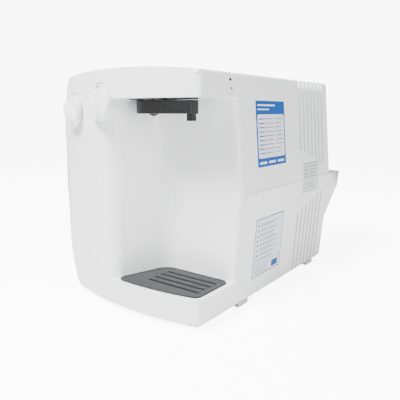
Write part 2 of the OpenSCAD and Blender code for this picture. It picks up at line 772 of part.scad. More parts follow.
// Spout
module at_pivot(z) translate([pivot_x, pivot_y, z]) children();
module spout_plate() color("#3C3E40") placed() intersection() {
    at_pivot(niche_top - plate_t) difference() {
        union() {
            cylinder(r = plate_r, h = plate_t);
            linear_extrude(plate_t) arm_plan();
        }
        translate([0, 0, -1]) cylinder(r = pivot_r, h = plate_t + 2);
    }
    linear_extrude(niche_top + plate_t) niche_plan(-gap);
}
module spout_pivot() color("#B8BABC") placed() difference() {
    union() {
        at_pivot(arm_z + pin_h + gap) cylinder(r = pivot_r, h = pivot_top - arm_z - pin_h - gap);
        at_pivot(arm_z - gap) cylinder(r = pivot_pin_r, h = pin_h + 3 * gap);
        at_pivot(arm_top + gap) cylinder(r = pivot_r * 1.5, h = niche_top - plate_t - arm_top - gap);
    }
    at_pivot(channel_z - channel_r) cylinder(r = pivot_bore_r, h = far);
    at_pivot(channel_z) rotate([0, 90, 0]) cylinder(r = channel_r - gap, h = pivot_r * 2);
    at_pivot(channel_z - channel_r + gap) difference() {
        cylinder(r = pivot_r * 2, h = 2 * (channel_r - gap));
        cylinder(r = pivot_r - seal_r, h = far);
    }
    for (z = seal_z)
        at_pivot(z - seal_r) difference() {
            cylinder(r = pivot_r * 2, h = 2 * seal_r);
            cylinder(r = pivot_r - 2 * seal_r + run_fit / 2, h = 2 * seal_r);
        }
}
module torus(big, small) rotate_extrude() translate([big, 0]) circle(r = small, $fn = 24);
module spout_seals() color("#2A2A2A") placed()
    for (z = seal_z)
        at_pivot(z) torus(pivot_r - seal_r + run_fit / 2, seal_r);
module spout_pivot_cap() color("#2F3133") placed() at_pivot(arm_z - gap - cap_h)
    cylinder(r = cap_r, h = cap_h);
// Plan of the arm, which leaves the hub in two hollow curves and ends in rounded corners
module arm_plan() {
    w = arm_w / 2;
    p = hub_r * [cos(neck_a), -sin(neck_a)];
    q = [p[0] + (-w - p[1]) * tan(neck_a), -w];
    side = concat(bend(p, q, [2 * q[0] - p[0], -w], bevel),
        rounded([q[0], -w], [arm_len, -w], [arm_len, w], arm_end_r));
    last = len(side) - 1;
    polygon(concat([[0, 0]], side, [for (i = [0:last]) [side[last - i][0], -side[last - i][1]]]));
}
module spout_arm() color("#4B4D50") placed() difference() {
    union() {
        at_pivot(arm_z) cylinder(r = hub_r, h = arm_h);
        at_pivot(arm_z) linear_extrude(arm_h) arm_plan();
    }
    at_pivot(arm_z - 1) cylinder(r = pivot_pin_r + run_fit, h = far);
    at_pivot(arm_z + pin_h) cylinder(r = pivot_r + run_fit, h = far);
    at_pivot(channel_z) rotate([0, 90, 0]) cylinder(r = channel_r, h = arm_len - nozzle_r);
    translate([nozzle_x, pivot_y, arm_z - 1]) cylinder(r = channel_r + 1, h = channel_z - arm_z + 1);
    translate([nozzle_x, pivot_y, arm_z - 1]) cylinder(r = nozzle_bore_r + tray_t / 2, h = spigot_h + 1);
}
module spout_nozzle() color("#3F4144") placed() translate([nozzle_x, pivot_y, arm_z - nozzle_h])
    difference() {
        union() {
            cylinder(r = nozzle_r, h = nozzle_h);
            cylinder(r = nozzle_bore_r + tray_t / 2, h = nozzle_h + spigot_h);
        }
        translate([0, 0, -1]) cylinder(r = nozzle_bore_r, h = far);
    }
// Knobs
module knob(turn) difference() {
    union() {
        rotate_extrude() polygon([[0, knob_gap], [knob_r, knob_gap], [knob_r, knob_face - wall / 2],
            [knob_r - wall / 2, knob_face], [0, knob_face]]);
        rotate([0, 0, turn]) intersection() {
            translate([-grip_t / 2, 0, knob_face + grip_h - grip_arc]) rotate([0, 90, 0])
                cylinder(r = grip_arc, h = grip_t, $fn = fine);
            box([-knob_r, -knob_r, knob_face - 1], [knob_r, knob_r, far]);
            cylinder(r = knob_r - wall, h = far);
        }
    }
    difference() {
        cylinder(r = knob_r - tray_t, h = knob_face - tray_t);
        translate([0, 0, nut_h + gap * 4]) cylinder(r = spindle_r + tray_t * 1.5, h = knob_h);
    }
    intersection() {
        cylinder(r = spindle_r, h = knob_face - tray_t / 2);
        spindle_flat();
    }
}
module spindle_flat() box([-far, -spindle_r, -far], [spindle_r * 0.6, far, far]);
module spindle(len) intersection() {
    translate([0, 0, -len]) cylinder(r = spindle_r, h = len + knob_face - tray_t / 2);
    union() {
        spindle_flat();
        box([-far, -far, -far], [far, far, nut_h + gap * 2]);
    }
}
module valve_body(r, len) {
    translate([0, 0, -len - valve_seat]) cylinder(r = r, h = len);
    translate([0, 0, -valve_seat - 1]) cylinder(r = nose_r, h = valve_seat + 1 + nut_h + gap);
}
module valve_bore(len) {
    translate([0, 0, -len]) cylinder(r = spindle_r + run_fit, h = far);
    translate([0, 0, -valve_seat - seal_r * 4])
        cylinder(r = spindle_r + 2 * seal_r + run_fit / 2, h = 2 * seal_r);
}
module flow_knob() color("#F4F5F6") placed() at_knob(-flow_x, flow_z) knob(flow_turn);
module temperature_knob() color("#F4F5F6") placed() at_knob(-temp_x, temp_z) knob(temp_turn);
module flow_spindle() color("#D8D8D4") placed() at_knob(-flow_x, flow_z)
    spindle(flow_valve_len - gap);
module temperature_spindle() color("#D8D8D4") placed() at_knob(-temp_x, temp_z)
    spindle(temp_valve_len - gap);
module flow_valve() color("#E4E4DE") placed() difference() {
    union() {
        at_knob(-flow_x, flow_z) valve_body(flow_valve_r, flow_valve_len);
        port(-flow_x, flow_z, flow_port_d);
    }
    at_knob(-flow_x, flow_z) valve_bore(flow_valve_len);
}
// A stub that stands upright on a valve, d behind the front surface
module port(x, z, d) {
    p = knob_at(x, z, -d);
    translate(p) ring(tube_r, tube_bore_r, tube_z - p[2]);
}
module temperature_valve() color("#E4E4DE") placed() difference() {
    union() {
        at_knob(-temp_x, temp_z) valve_body(temp_valve_r, temp_valve_len);
        for (d = temp_port_d) port(-temp_x, temp_z, d);
    }
    at_knob(-temp_x, temp_z) valve_bore(temp_valve_len);
}
module valve_seals() color("#2A2A2A") placed() for (k = [[-flow_x, flow_z], [-temp_x, temp_z]])
    at_knob(k[0], k[1]) translate([0, 0, -valve_seat - seal_r * 3])
        torus(spindle_r + seal_r + run_fit / 2, seal_r);
module valve_nuts() color("#C9CBCC") placed() for (k = [[-flow_x, flow_z], [-temp_x, temp_z]])
    at_knob(k[0], k[1]) translate([0, 0, gap]) difference() {
        cylinder(r = nut_r, h = nut_h, $fn = 6);
        translate([0, 0, -1]) cylinder(r = nose_r, h = nut_h + 2);
    }
// Cooling
module at_tank(z) translate([-tank_x, tank_y, z]) children();
module lid_holes(r) for (s = [-1, 1]) translate([-tank_x + s * tank_r * 0.4, tank_y - tank_r * 0.3, 0])
    cylinder(r = r, h = far);
module cold_tank() color("#C6C9CC") placed() at_tank(tank_z) difference() {
    cylinder(r = tank_r, h = tank_h);
    translate([0, 0, tank_t]) cylinder(r = tank_r - tank_t, h = tank_h);
}
module tank_lid() color("#E8E8E2") placed() difference() {
    at_tank(lid_z) cylinder(r = tank_r + gap, h = lid_t);
    translate([0, 0, lid_z - 1]) lid_holes(tube_bore_r);
}
module insulation(side) placed() difference() {
    at_tank(foam_z) cylinder(r = foam_r, h = foam_top - foam_z);
    at_tank(tank_z) cylinder(r = tank_r + run_fit, h = tank_h);
    at_tank(lid_z) cylinder(r = tank_r + 2 * gap, h = lid_t + gap);
    translate([0, 0, lid_z]) lid_holes(tube_r + gap);
    translate([-tank_x - cooler_w / 2 - gap, tank_y, cool_z - cooler_w / 2 - gap])
        cube([cooler_w + 2 * gap, foam_r * 2, cooler_w + 2 * gap]);
    box([side > 0 ? -far : -tank_x, -far, -far], [side > 0 ? -tank_x : far, far, far]);
}
module insulation_left() color("#F7F7F7") insulation(-1);
module insulation_right() color("#F7F7F7") insulation(1);
module tank_stand() color("#9FA3A6") placed() at_tank(floor_z) {
    translate([-stand_w / 2, -stand_w / 2, stand_h - stand_t]) cube([stand_w, stand_w, stand_t]);
    for (s = [-1, 1], t = [-1, 1]) translate([s * (stand_w - leg_w) / 2, t * (stand_w - leg_w) / 2, 0])
        translate([-leg_w / 2, -leg_w / 2, 0]) cube([leg_w, leg_w, stand_h - stand_t]);
}
module at_cooler(y) translate([-tank_x, y, cool_z]) children();
module cold_block() color("#B9BDC1") placed() difference() {
    at_cooler(tank_y) box([-cooler_w / 2, 0, -cooler_w / 2], [cooler_w / 2, tank_r + block_t, cooler_w / 2]);
    at_tank(0) cylinder(r = tank_r + run_fit, h = far);
}
module thermoelectric_module() color("#F1F1EE") placed() at_cooler(module_y)
    box([-cooler_w / 2, 0, -cooler_w / 2], [cooler_w / 2, cooler_t, cooler_w / 2]);
module heat_sink() color("#A9ADB1") placed() at_cooler(sink_y) {
    box([-sink_w / 2, 0, -sink_w / 2], [sink_w / 2, sink_t, sink_w / 2]);
    for (i = [0:sink_fin_n - 1]) translate([-sink_w / 2 + i * (sink_w - sink_fin_t) / (sink_fin_n - 1),
        sink_t, -sink_w / 2]) cube([sink_fin_t, sink_fin_h, sink_w]);
}
module fan_corners() for (s = [-1, 1], t = [-1, 1])
    translate([s * (fan_w / 2 - 5), 0, t * (fan_w / 2 - 5)]) rotate([-90, 0, 0]) children();
module fan_frame() color("#2B2D2F") placed() at_cooler(fan_y) {
    difference() {
        box([-fan_w / 2, 0, -fan_w / 2], [fan_w / 2, fan_t, fan_w / 2]);
        translate([0, -1, 0]) rotate([-90, 0, 0]) cylinder(r = fan_w / 2 - 2, h = fan_t + 2);
        fan_corners() translate([0, 0, -1]) cylinder(r = screw_r + pass_fit, h = fan_t + 2);
    }
    difference() {
        union() {
            translate([0, fan_t - 4, 0]) rotate([-90, 0, 0]) cylinder(r = fan_hub_r, h = 4);
            for (a = [0, 1]) rotate([0, 45 + a * 90, 0])
                box([-fan_w / 2 + 1, fan_t - 3, -2], [fan_w / 2 - 1, fan_t, 2]);
        }
        translate([0, 0, 0]) rotate([-90, 0, 0]) cylinder(r = fan_shaft_r + run_fit, h = fan_t - 1);
    }
}
module fan_rotor() color("#3A3C3F") placed() at_cooler(fan_y) {
    translate([0, 2, 0]) rotate([-90, 0, 0]) cylinder(r = fan_hub_r, h = fan_t - 8);
    translate([0, fan_t - 7, 0]) rotate([-90, 0, 0]) cylinder(r = fan_shaft_r, h = 5);
    for (i = [0:fan_blades - 1]) rotate([0, i * 360 / fan_blades, 0])
        translate([fan_hub_r - 1, fan_t / 2 - 2, 0]) rotate([blade_pitch, 0, 0])
            box([0, -blade_t / 2, -fan_t / 3], [fan_w / 2 - fan_hub_r - 4, blade_t / 2, fan_t / 3]);
}
module fan_screws() color("#C9CBCC") placed() at_cooler(fan_y) fan_corners() {
    cylinder(r = screw_r, h = fan_t);
    translate([0, 0, fan_t]) cylinder(r = fan_head_r, h = screw_head_h - 1);
}
// Water
module filter_cartridge() color("#F5F6F7") placed() translate([filter_x, filter_y, filter_z])
    rotate_extrude() polygon([[0, 0], [filter_r - edge_r, 0], [filter_r, edge_r],
        [filter_r, filter_h - 3 * edge_r], [filter_r - 2 * edge_r, filter_h - edge_r],
        [filter_r - 2 * edge_r, filter_h], [0, filter_h]]);
module head_ports() for (s = [-1, 1]) translate([filter_x + s * port_gap / 2, filter_y, 0]) children();
module filter_head() color("#5B7FA8") placed() difference() {
    translate([filter_x, filter_y, head_z]) cylinder(r = head_r, h = head_h);
    head_ports() translate([0, 0, head_z + wall]) cylinder(r = tube_bore_r, h = far);
}
module along_rear(x, z) translate([x, rear_y, z]) rotate([-90, 0, 0]) children();
module inlet_fitting() color("#D9DADB") placed() along_rear(inlet_x, inlet_z) difference() {
    union() {
        translate([0, 0, -inlet_out * 2]) cylinder(r = inlet_r, h = inlet_out * 3);
        translate([0, 0, gap]) cylinder(r = inlet_flange_r, h = wall);
    }
    translate([0, 0, -inlet_out * 2 - 1]) cylinder(r = tube_bore_r, h = far);
    translate([0, 0, -inlet_out / 2]) cylinder(r = inlet_bore_r, h = far);
}
module cord_gland() color("#2A2A2A") placed() along_rear(-gland_x, inlet_z) difference() {
    union() {
        translate([0, 0, -gland_out * 2]) cylinder(r = gland_r, h = gland_out * 3);
        translate([0, 0, gap]) cylinder(r = gland_r * 1.4, h = wall / 2);
    }
    translate([0, 0, -gland_out * 2 - 1]) cylinder(r = gland_bore_r, h = far);
}
module supply_tube() color("#DDE6EE") placed() tube([[inlet_x, rear_y - 2 * inlet_out, inlet_z],
    [inlet_x, body_d - 3 * inlet_flange_r, inlet_z], [inlet_x, body_d - 3 * inlet_flange_r, high_z],
    [filter_x + port_gap / 2, filter_y, high_z], [filter_x + port_gap / 2, filter_y, head_z + head_h]]);
module filtered_tube() color("#DDE6EE") placed() tube([[filter_x - port_gap / 2, filter_y, head_z + head_h],
    [filter_x - port_gap / 2, filter_y, tube_z], [-tank_x + tank_r * 0.4, tank_y - tank_r * 0.3, tube_z],
    [-tank_x + tank_r * 0.4, tank_y - tank_r * 0.3, lid_z + lid_t]]);
module cold_tube() color("#DDE6EE") placed() tube([[-tank_x - tank_r * 0.4, tank_y - tank_r * 0.3, lid_z + lid_t],
    [-tank_x - tank_r * 0.4, tank_y - tank_r * 0.3, tube_z],
    knob_at(-flow_x, flow_z, -flow_valve_len - wall * 8),
    knob_at(-flow_x, flow_z, -flow_valve_len - valve_seat)]);
module mixed_tube() color("#DDE6EE") placed() {
    a = knob_at(-flow_x, flow_z, -flow_port_d);
    b = knob_at(-temp_x, temp_z, -temp_port_d[0]);
    tube([[a[0], a[1], tube_z], [a[0], a[1], high_z - wall / 2], [b[0], b[1], high_z - wall / 2],
        [b[0], b[1], tube_z]]);
}
module outlet_tube() color("#DDE6EE") placed() {
    a = knob_at(-temp_x, temp_z, -temp_port_d[1]);
    tube([[pivot_x, pivot_y, pivot_top], [pivot_x, pivot_y, high_z + wall], [a[0], a[1], high_z + wall],
        [a[0], a[1], tube_z]]);
}
// Power
module power_supply() color("#8E9296") placed() translate([-tank_x - psu_w / 2, psu_y, floor_z]) {
    cube([psu_w, psu_d, psu_h]);
    for (x = [spacer_h, psu_w - spacer_h], y = [spacer_h, psu_d - spacer_h])
        translate([x, y, psu_h]) cylinder(r = spacer_h / 2, h = spacer_h);
}
module control_board() color("#2E6B45") placed() translate([-tank_x - psu_w / 2, psu_y, board_z]) {
    cube([psu_w, psu_d, board_t]);
    for (i = [0:2]) translate([psu_w * (0.15 + i * 0.27), psu_d * 0.3, board_t])
        cube([psu_w * 0.15, psu_d * 0.3, chip_h - i * 2]);
}
// Fasteners, feet and labels
module case_screws() color("#B9BCBF") placed() every_boss() {
    translate([0, 0, foot_h + screw_pocket - screw_head_h]) cylinder(r = screw_head_r, h = screw_head_h);
    translate([0, 0, foot_h + screw_pocket - 1]) cylinder(r = screw_r, h = seam_z + screw_grip - foot_h - screw_pocket);
}
module feet() color("#4A4C4E") placed() for (x = [-foot_left_x, foot_right_x], y = [foot_front_y, foot_rear_y])
    translate([x, y, 0]) intersection() {
        along_x(-foot_r, foot_r) foot_side();
        along_y(-foot_r, foot_r) foot_side();
    }
module foot_side() polygon([[1 - foot_r, 0], [foot_r - 1, 0], [foot_r, 1], [foot_r, foot_h], [-foot_r, foot_h],
    [-foot_r, 1]]);
module visor_pin() color("#8C8F92") placed() intersection() {
    housing_form(0);
    translate([side_x, visor_d - wall, niche_top + wall * 3]) rotate([0, -90, 0]) cylinder(r = pin_r, h = far);
    box([end_x - wall * 2, -far, -far], [far, far, far]);
}
module label(y, z, w, h) intersection() {
    housing_skin(-label_t, label_t);
    box([0, y, z], [far, y + w, z + h]);
}
module upper_label() color("#4C7FBF") placed() label(label_y, label_up_z, label_w, label_up_h);
module lower_label() color("#E8EAF0") placed() label(label_y, label_low_z, label_w, label_low_h);
module rating_label() color("#D5D6D8") placed() label(rating_y, rating_z, rating_w, rating_h);

base_front();
lower_housing();
upper_housing();
front_visor();
niche_lining();
drip_tray();
drip_grille();
spout_plate();
spout_pivot();
spout_pivot_cap();
spout_arm();
spout_nozzle();
spout_seals();
flow_knob();
temperature_knob();
flow_spindle();
temperature_spindle();
flow_valve();
temperature_valve();
valve_seals();
valve_nuts();
cold_tank();
tank_lid();
insulation_left();
insulation_right();
tank_stand();
cold_block();
thermoelectric_module();
heat_sink();
fan_frame();
fan_rotor();
fan_screws();
filter_cartridge();
filter_head();
inlet_fitting();
supply_tube();
filtered_tube();
cold_tube();
mixed_tube();
outlet_tube();
power_supply();
control_board();
cord_gland();
case_screws();
feet();
visor_pin();
upper_label();
lower_label();
rating_label();
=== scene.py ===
"""Looks of the countertop water dispenser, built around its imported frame."""

import json
import math

import bmesh
import bpy
from mathutils import Matrix, Vector

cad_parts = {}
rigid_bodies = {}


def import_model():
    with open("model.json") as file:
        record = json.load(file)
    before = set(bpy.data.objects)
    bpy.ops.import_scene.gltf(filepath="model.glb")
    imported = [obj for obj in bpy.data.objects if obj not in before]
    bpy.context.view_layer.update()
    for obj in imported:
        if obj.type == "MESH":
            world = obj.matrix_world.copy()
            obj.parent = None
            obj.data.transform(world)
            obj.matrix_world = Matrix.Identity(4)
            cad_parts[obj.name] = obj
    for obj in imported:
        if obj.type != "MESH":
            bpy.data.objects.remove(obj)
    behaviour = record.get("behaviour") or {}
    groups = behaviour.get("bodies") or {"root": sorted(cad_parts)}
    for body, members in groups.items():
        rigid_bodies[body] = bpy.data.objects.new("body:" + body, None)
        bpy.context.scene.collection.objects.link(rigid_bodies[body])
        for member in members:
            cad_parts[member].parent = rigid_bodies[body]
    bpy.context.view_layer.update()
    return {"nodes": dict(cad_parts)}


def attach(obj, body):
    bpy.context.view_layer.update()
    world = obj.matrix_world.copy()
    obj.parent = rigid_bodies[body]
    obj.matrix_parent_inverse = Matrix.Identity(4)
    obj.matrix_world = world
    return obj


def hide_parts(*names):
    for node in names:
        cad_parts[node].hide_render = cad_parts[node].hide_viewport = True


bl_info = {
    "name": "Countertop water dispenser",
    "version": (1, 0, 0),
    "blender": (4, 5, 0),
    "location": "View3D > Sidebar > Dispenser",
    "description": "Builds the finished pieces of a countertop water dispenser round its frame",
    "category": "Object",
}

for leftover in list(bpy.data.objects):
    bpy.data.objects.remove(leftover)
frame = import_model()
NODES = frame["nodes"]
MM = 0.001
MID_Y = 0.18085          # from the front right corner back to the origin
SEAM_Z = 0.150
TOP_Z = 0.294
SIDE_X = 0.125
END_X = 0.114
FOOT_Z = 0.006
SIDE_LEAN = math.atan((SIDE_X - END_X) / (SEAM_Z - FOOT_Z))
LABEL_T = 0.0003
# The front is part of an upright barrel that swells between its foot and its head
FRONT_BOW, LEFT_SETBACK = 0.0112, 0.011
BOW_K = math.sqrt((FRONT_BOW + LEFT_SETBACK) / FRONT_BOW)
BOW_X = END_X * (BOW_K - 1) / (BOW_K + 1)
BOW_R = ((END_X - BOW_X) ** 2 + FRONT_BOW ** 2) / (2 * FRONT_BOW)
BOW_Y = BOW_R - FRONT_BOW - MID_Y
FRONT_SWELL, SWELL_BAND = 0.006, 0.054
SWELL_PART, SWELL_EDGE = FRONT_SWELL * 0.67, SWELL_BAND * 0.6
SWELL = ((FOOT_Z, 0.0), (FOOT_Z + SWELL_EDGE, SWELL_PART), (FOOT_Z + SWELL_BAND, FRONT_SWELL),
         (TOP_Z - SWELL_BAND, FRONT_SWELL), (TOP_Z - SWELL_EDGE, SWELL_PART), (TOP_Z, 0.0))
# Each knob's x, z and the turn of its grip in degrees
KNOBS = {"flow_knob": (-0.0817, 0.2487, 38), "temperature_knob": (-0.0210, 0.2580, 25)}
KNOB_R, KNOB_GAP, KNOB_FACE = 0.0197, 0.0012, 0.0078
GRIP_H, GRIP_W = 0.008, 0.0088
PIVOT_X, PIVOT_Y, CAP_Z = 0.022, -0.15085, 0.2443
# The front right corner shows below the tray and beside the visor, over this depth in millimetres
CORNER_DEPTH, BASE_TOP, VISOR_LOW = 8, 0.0401, 0.2
NICHE_BACK = 70.3        # millimetres behind the front corner to the housing's hidden joint
TINY_EDGE = 0.00018
# The dotted scale is an arc beside the temperature knob: shift, gap, start and span in degrees
SCALE_SHIFT, SCALE_GAP, SCALE_START, SCALE_SPAN = (-0.003, -0.002), 0.0051, 103, 70
DOT_LARGE, DOT_SMALL = 0.00125, 0.00075
# Print areas in millimetres: from u0, v0 to u1, v1, u behind the front corner and v up
PRINT_AREA = {"upper_label": (111, 180.5, 188, 263.5), "lower_label": (111, 32, 188, 113),
              "rating_label": (245, 130, 298, 174)}
BLUE, PAPER = (0.010, 0.075, 0.30), (0.66, 0.70, 0.78)
VIOLET, GREY = (0.006, 0.010, 0.11), (0.05, 0.06, 0.09)
# Brightness that the camera sees on the floor and sky, and the sky's own light
FLOOR_GLOW, SKY_GLOW, SKY_LIGHT = 8.0, 9.0, 0.3
# Each lamp's name, place, power and size; all aim at the middle of the machine
LAMPS = (("key", (-0.3, -1.35, 2.0), 190, 0.7), ("fill", (1.9, -0.3, 0.6), 30, 1.2),
         ("top", (0.0, 0.3, 2.0), 20, 1.5))
LAMP_AIM = (0, 0, 0.15)
CAMERA_AT = (0.41008, -0.39663 - MID_Y, 0.25026)
CAMERA_YAW, CAMERA_PITCH = 36.32, 10.74
LENS, SENSOR, LENS_SHIFT = 41.7798, 36, (-0.0078, -0.0013)


def front_y(y):
    """A distance in millimetres behind the front right corner, as a y in metres."""
    return y * MM - MID_Y


# ---------------------------------------------------------------- materials
def nodes_of(mat):
    tree = mat.node_tree
    return tree, tree.nodes["Principled BSDF"]


def surface_group():
    """Grain, tone and smudge values that every finish shares."""
    old = bpy.data.node_groups.get("surface_detail")
    if old:
        return old
    g = bpy.data.node_groups.new("surface_detail", "ShaderNodeTree")
    face = g.interface
    for name, value in (("Grain Size", 900.0), ("Stretch", 1.0), ("Tone Size", 14.0),
                        ("Smudge Size", 45.0)):
        s = face.new_socket(name=name, in_out="INPUT", socket_type="NodeSocketFloat")
        s.default_value = value
    for name in ("Grain", "Tone", "Smudge"):
        face.new_socket(name=name, in_out="OUTPUT", socket_type="NodeSocketFloat")
    n, l = g.nodes, g.links
    gin, gout = n.new("NodeGroupInput"), n.new("NodeGroupOutput")
    coord = n.new("ShaderNodeTexCoord")
    stretch = n.new("ShaderNodeCombineXYZ")
    stretch.inputs[1].default_value = stretch.inputs[2].default_value = 1.0
    l.new(gin.outputs["Stretch"], stretch.inputs[0])
    scaled = n.new("ShaderNodeVectorMath")
    scaled.operation = "MULTIPLY"
    l.new(coord.outputs["Object"], scaled.inputs[0])
    l.new(stretch.outputs[0], scaled.inputs[1])
    for name, detail in (("Grain", 3.0), ("Tone", 4.0), ("Smudge", 6.0)):
        noise = n.new("ShaderNodeTexNoise")
        noise.inputs["Detail"].default_value = detail
        noise.inputs["Roughness"].default_value = 0.55
        l.new(scaled.outputs[0], noise.inputs["Vector"])
        l.new(gin.outputs[name + " Size"], noise.inputs["Scale"])
        l.new(noise.outputs["Fac"], gout.inputs[name])
    return g


def speck_group():
    """A sparse mask of tiny dust specks and scuffs."""
    old = bpy.data.node_groups.get("fine_specks")
    if old:
        return old
    g = bpy.data.node_groups.new("fine_specks", "ShaderNodeTree")
    for name, value in (("Size", 260.0), ("Amount", 0.06)):
        s = g.interface.new_socket(name=name, in_out="INPUT", socket_type="NodeSocketFloat")
        s.default_value = value
    g.interface.new_socket(name="Mask", in_out="OUTPUT", socket_type="NodeSocketFloat")
    n, l = g.nodes, g.links
    gin, gout = n.new("NodeGroupInput"), n.new("NodeGroupOutput")
    coord = n.new("ShaderNodeTexCoord")
    cells = n.new("ShaderNodeTexVoronoi")
    l.new(coord.outputs["Object"], cells.inputs["Vector"])
    l.new(gin.outputs["Size"], cells.inputs["Scale"])
    less = n.new("ShaderNodeMath")
    less.operation = "LESS_THAN"
    l.new(cells.outputs["Distance"], less.inputs[0])
    l.new(gin.outputs["Amount"], less.inputs[1])
    l.new(less.outputs[0], gout.inputs["Mask"])
    return g


def finish(name, colour, rough, metal=0.0, tone=0.03, smudge=0.06, grain=0.08, grain_size=900.0,
           stretch=1.0, coat=0.0, specks=0.0, speck_size=260.0, paint=None, tone_size=14.0, shine=0.5):
    """A material with its colour, tone changes, smudges, specks and moulded or brushed grain."""
    name = "finish_" + name
    mat = bpy.data.materials.get(name)
    if mat:
        return mat
    mat = bpy.data.materials.new(name)
    mat.use_nodes = True
    mat.diffuse_color = (*colour, 1)
    tree, bsdf = nodes_of(mat)
    n, l = tree.nodes, tree.links
    bsdf.inputs["Metallic"].default_value = metal
    bsdf.inputs["Specular IOR Level"].default_value = shine
    bsdf.inputs["Coat Weight"].default_value = coat
    bsdf.inputs["Coat Roughness"].default_value = 0.12
    detail = n.new("ShaderNodeGroup")
    detail.node_tree = surface_group()
    detail.inputs["Grain Size"].default_value = grain_size
    detail.inputs["Stretch"].default_value = stretch
    detail.inputs["Tone Size"].default_value = tone_size
    ramp = n.new("ShaderNodeMix")
    ramp.data_type = "RGBA"
    ramp.inputs[6].default_value = (*[c * (1 - tone) for c in colour], 1)
    ramp.inputs[7].default_value = (*[min(1.0, c * (1 + tone)) for c in colour], 1)
    l.new(detail.outputs["Tone"], ramp.inputs[0])
    colour_out = ramp.outputs[2]
    if paint:
        attr = n.new("ShaderNodeAttribute")
        attr.attribute_name = paint
        tint = n.new("ShaderNodeMix")
        tint.data_type = "RGBA"
        tint.blend_type = "MULTIPLY"
        tint.inputs[0].default_value = 1.0
        l.new(colour_out, tint.inputs[6])
        l.new(attr.outputs["Color"], tint.inputs[7])
        colour_out = tint.outputs[2]
    if specks:
        mask = n.new("ShaderNodeGroup")
        mask.node_tree = speck_group()
        mask.inputs["Size"].default_value = speck_size
        mask.inputs["Amount"].default_value = specks
        spot = n.new("ShaderNodeMix")
        spot.data_type = "RGBA"
        spot.inputs[7].default_value = (*[c * 0.8 for c in colour], 1)
        l.new(mask.outputs["Mask"], spot.inputs[0])
        l.new(colour_out, spot.inputs[6])
        colour_out = spot.outputs[2]
    l.new(colour_out, bsdf.inputs["Base Color"])
    span = n.new("ShaderNodeMapRange")
    span.inputs["To Min"].default_value = max(0.02, rough - smudge)
    span.inputs["To Max"].default_value = min(1.0, rough + smudge)
    l.new(detail.outputs["Smudge"], span.inputs["Value"])
    l.new(span.outputs[0], bsdf.inputs["Roughness"])
    bump = n.new("ShaderNodeBump")
    bump.inputs["Strength"].default_value = grain
    bump.inputs["Distance"].default_value = 0.0004
    l.new(detail.outputs["Grain"], bump.inputs["Height"])
    l.new(bump.outputs[0], bsdf.inputs["Normal"])
    return mat


def paint_node(name, mat):
    """Gives a carried-over frame node its finish."""
    data = NODES[name].data
    data.materials.clear()
    data.materials.append(mat)


def finishes():
    """Every finish of the machine, by the record's slot."""
    look = bpy.context.scene.dispenser_finish
    return {
        "white_shell": finish("white_shell", tuple(look.shell), 0.30, tone=0.008, smudge=0.05, grain=0.03,
                              coat=0.2, specks=0.02, speck_size=210.0),
        "niche_white": finish("niche_white", tuple(look.shell), 0.22, tone=0.008, smudge=0.04, grain=0.02,
                              coat=0.4),
        "tray_grey": finish("tray_grey", tuple(look.tray), 0.48, tone=0.05, smudge=0.08, grain=0.22,
                            grain_size=1500.0, specks=0.05, shine=0.06),
        "spout_dark": finish("spout_dark", tuple(look.spout), 0.38, tone=0.08, smudge=0.08, grain=0.12,
                             grain_size=1400.0, shine=0.16),
        "brass_pivot": finish("brass_pivot", (0.62, 0.60, 0.55), 0.28, metal=1.0, grain=0.05, stretch=30.0),
        "seal_rubber": finish("seal_rubber", (0.025, 0.025, 0.026), 0.7, tone=0.1, grain=0.2),
        "foot_grey": finish("foot_grey", (0.60, 0.61, 0.62), 0.6, tone=0.05, grain=0.25, grain_size=1300.0),
        "knob_white": finish("knob_white", tuple(look.knob), 0.24, tone=0.008, smudge=0.05, grain=0.02,
                             coat=0.35),
        "inner_plastic": finish("inner_plastic", (0.75, 0.75, 0.72), 0.45, tone=0.03, grain=0.1),
        "steel": finish("steel", (0.58, 0.58, 0.58), 0.3, metal=1.0, tone=0.06, grain=0.1, stretch=24.0),
        "foam": finish("foam", (0.86, 0.86, 0.84), 0.85, tone=0.05, grain=0.9, grain_size=420.0, specks=0.3),
        "cooler_alloy": finish("cooler_alloy", (0.66, 0.67, 0.69), 0.36, metal=1.0, tone=0.05, grain=0.14,
                               stretch=18.0),
        "ceramic": finish("ceramic", (0.85, 0.85, 0.82), 0.4, tone=0.03, grain=0.05),
        "fan_black": finish("fan_black", (0.02, 0.02, 0.022), 0.42, tone=0.1, grain=0.2, grain_size=1600.0),
        "filter_blue": finish("filter_blue", (0.06, 0.16, 0.36), 0.4, tone=0.05, grain=0.1),
        "tube_clear": finish("tube_clear", (0.66, 0.72, 0.78), 0.2, tone=0.04, grain=0.03, coat=0.3),
        "board_green": finish("board_green", (0.02, 0.13, 0.06), 0.35, tone=0.12, grain=0.1, coat=0.3,
                              specks=0.25, speck_size=420.0),
        "label_blue": finish("label_blue", (0.010, 0.075, 0.30), 0.5, tone=0.02, grain=0.02, shine=0.1),
        "label_white": finish("label_white", (0.66, 0.70, 0.80), 0.4, tone=0.02, grain=0.02, shine=0.3),
        "label_grey": finish("label_grey", (0.60, 0.61, 0.62), 0.45, tone=0.03, grain=0.05),
    }


# ---------------------------------------------------------------- mesh helpers
def closed(bm):
    return all(e.is_manifold for e in bm.edges)


def weld(bm, dist):
    bmesh.ops.remove_doubles(bm, verts=bm.verts, dist=dist)
    bmesh.ops.dissolve_degenerate(bm, edges=bm.edges, dist=dist * 0.2)


def if_closed(changed, bm):
    """The changed bmesh where it is still closed, or else the one it came from."""
    keep, drop = (changed, bm) if closed(changed) else (bm, changed)
    drop.free()
    return keep


def merged_copy(name):
    """A welded bmesh of a frame node, without its tiniest edges where it stays closed."""
    bm = bmesh.new()
    bm.from_mesh(NODES[name].data)
    weld(bm, 1e-6)
    tidy = bm.copy()
    weld(tidy, TINY_EDGE)
    return if_closed(tidy, bm)


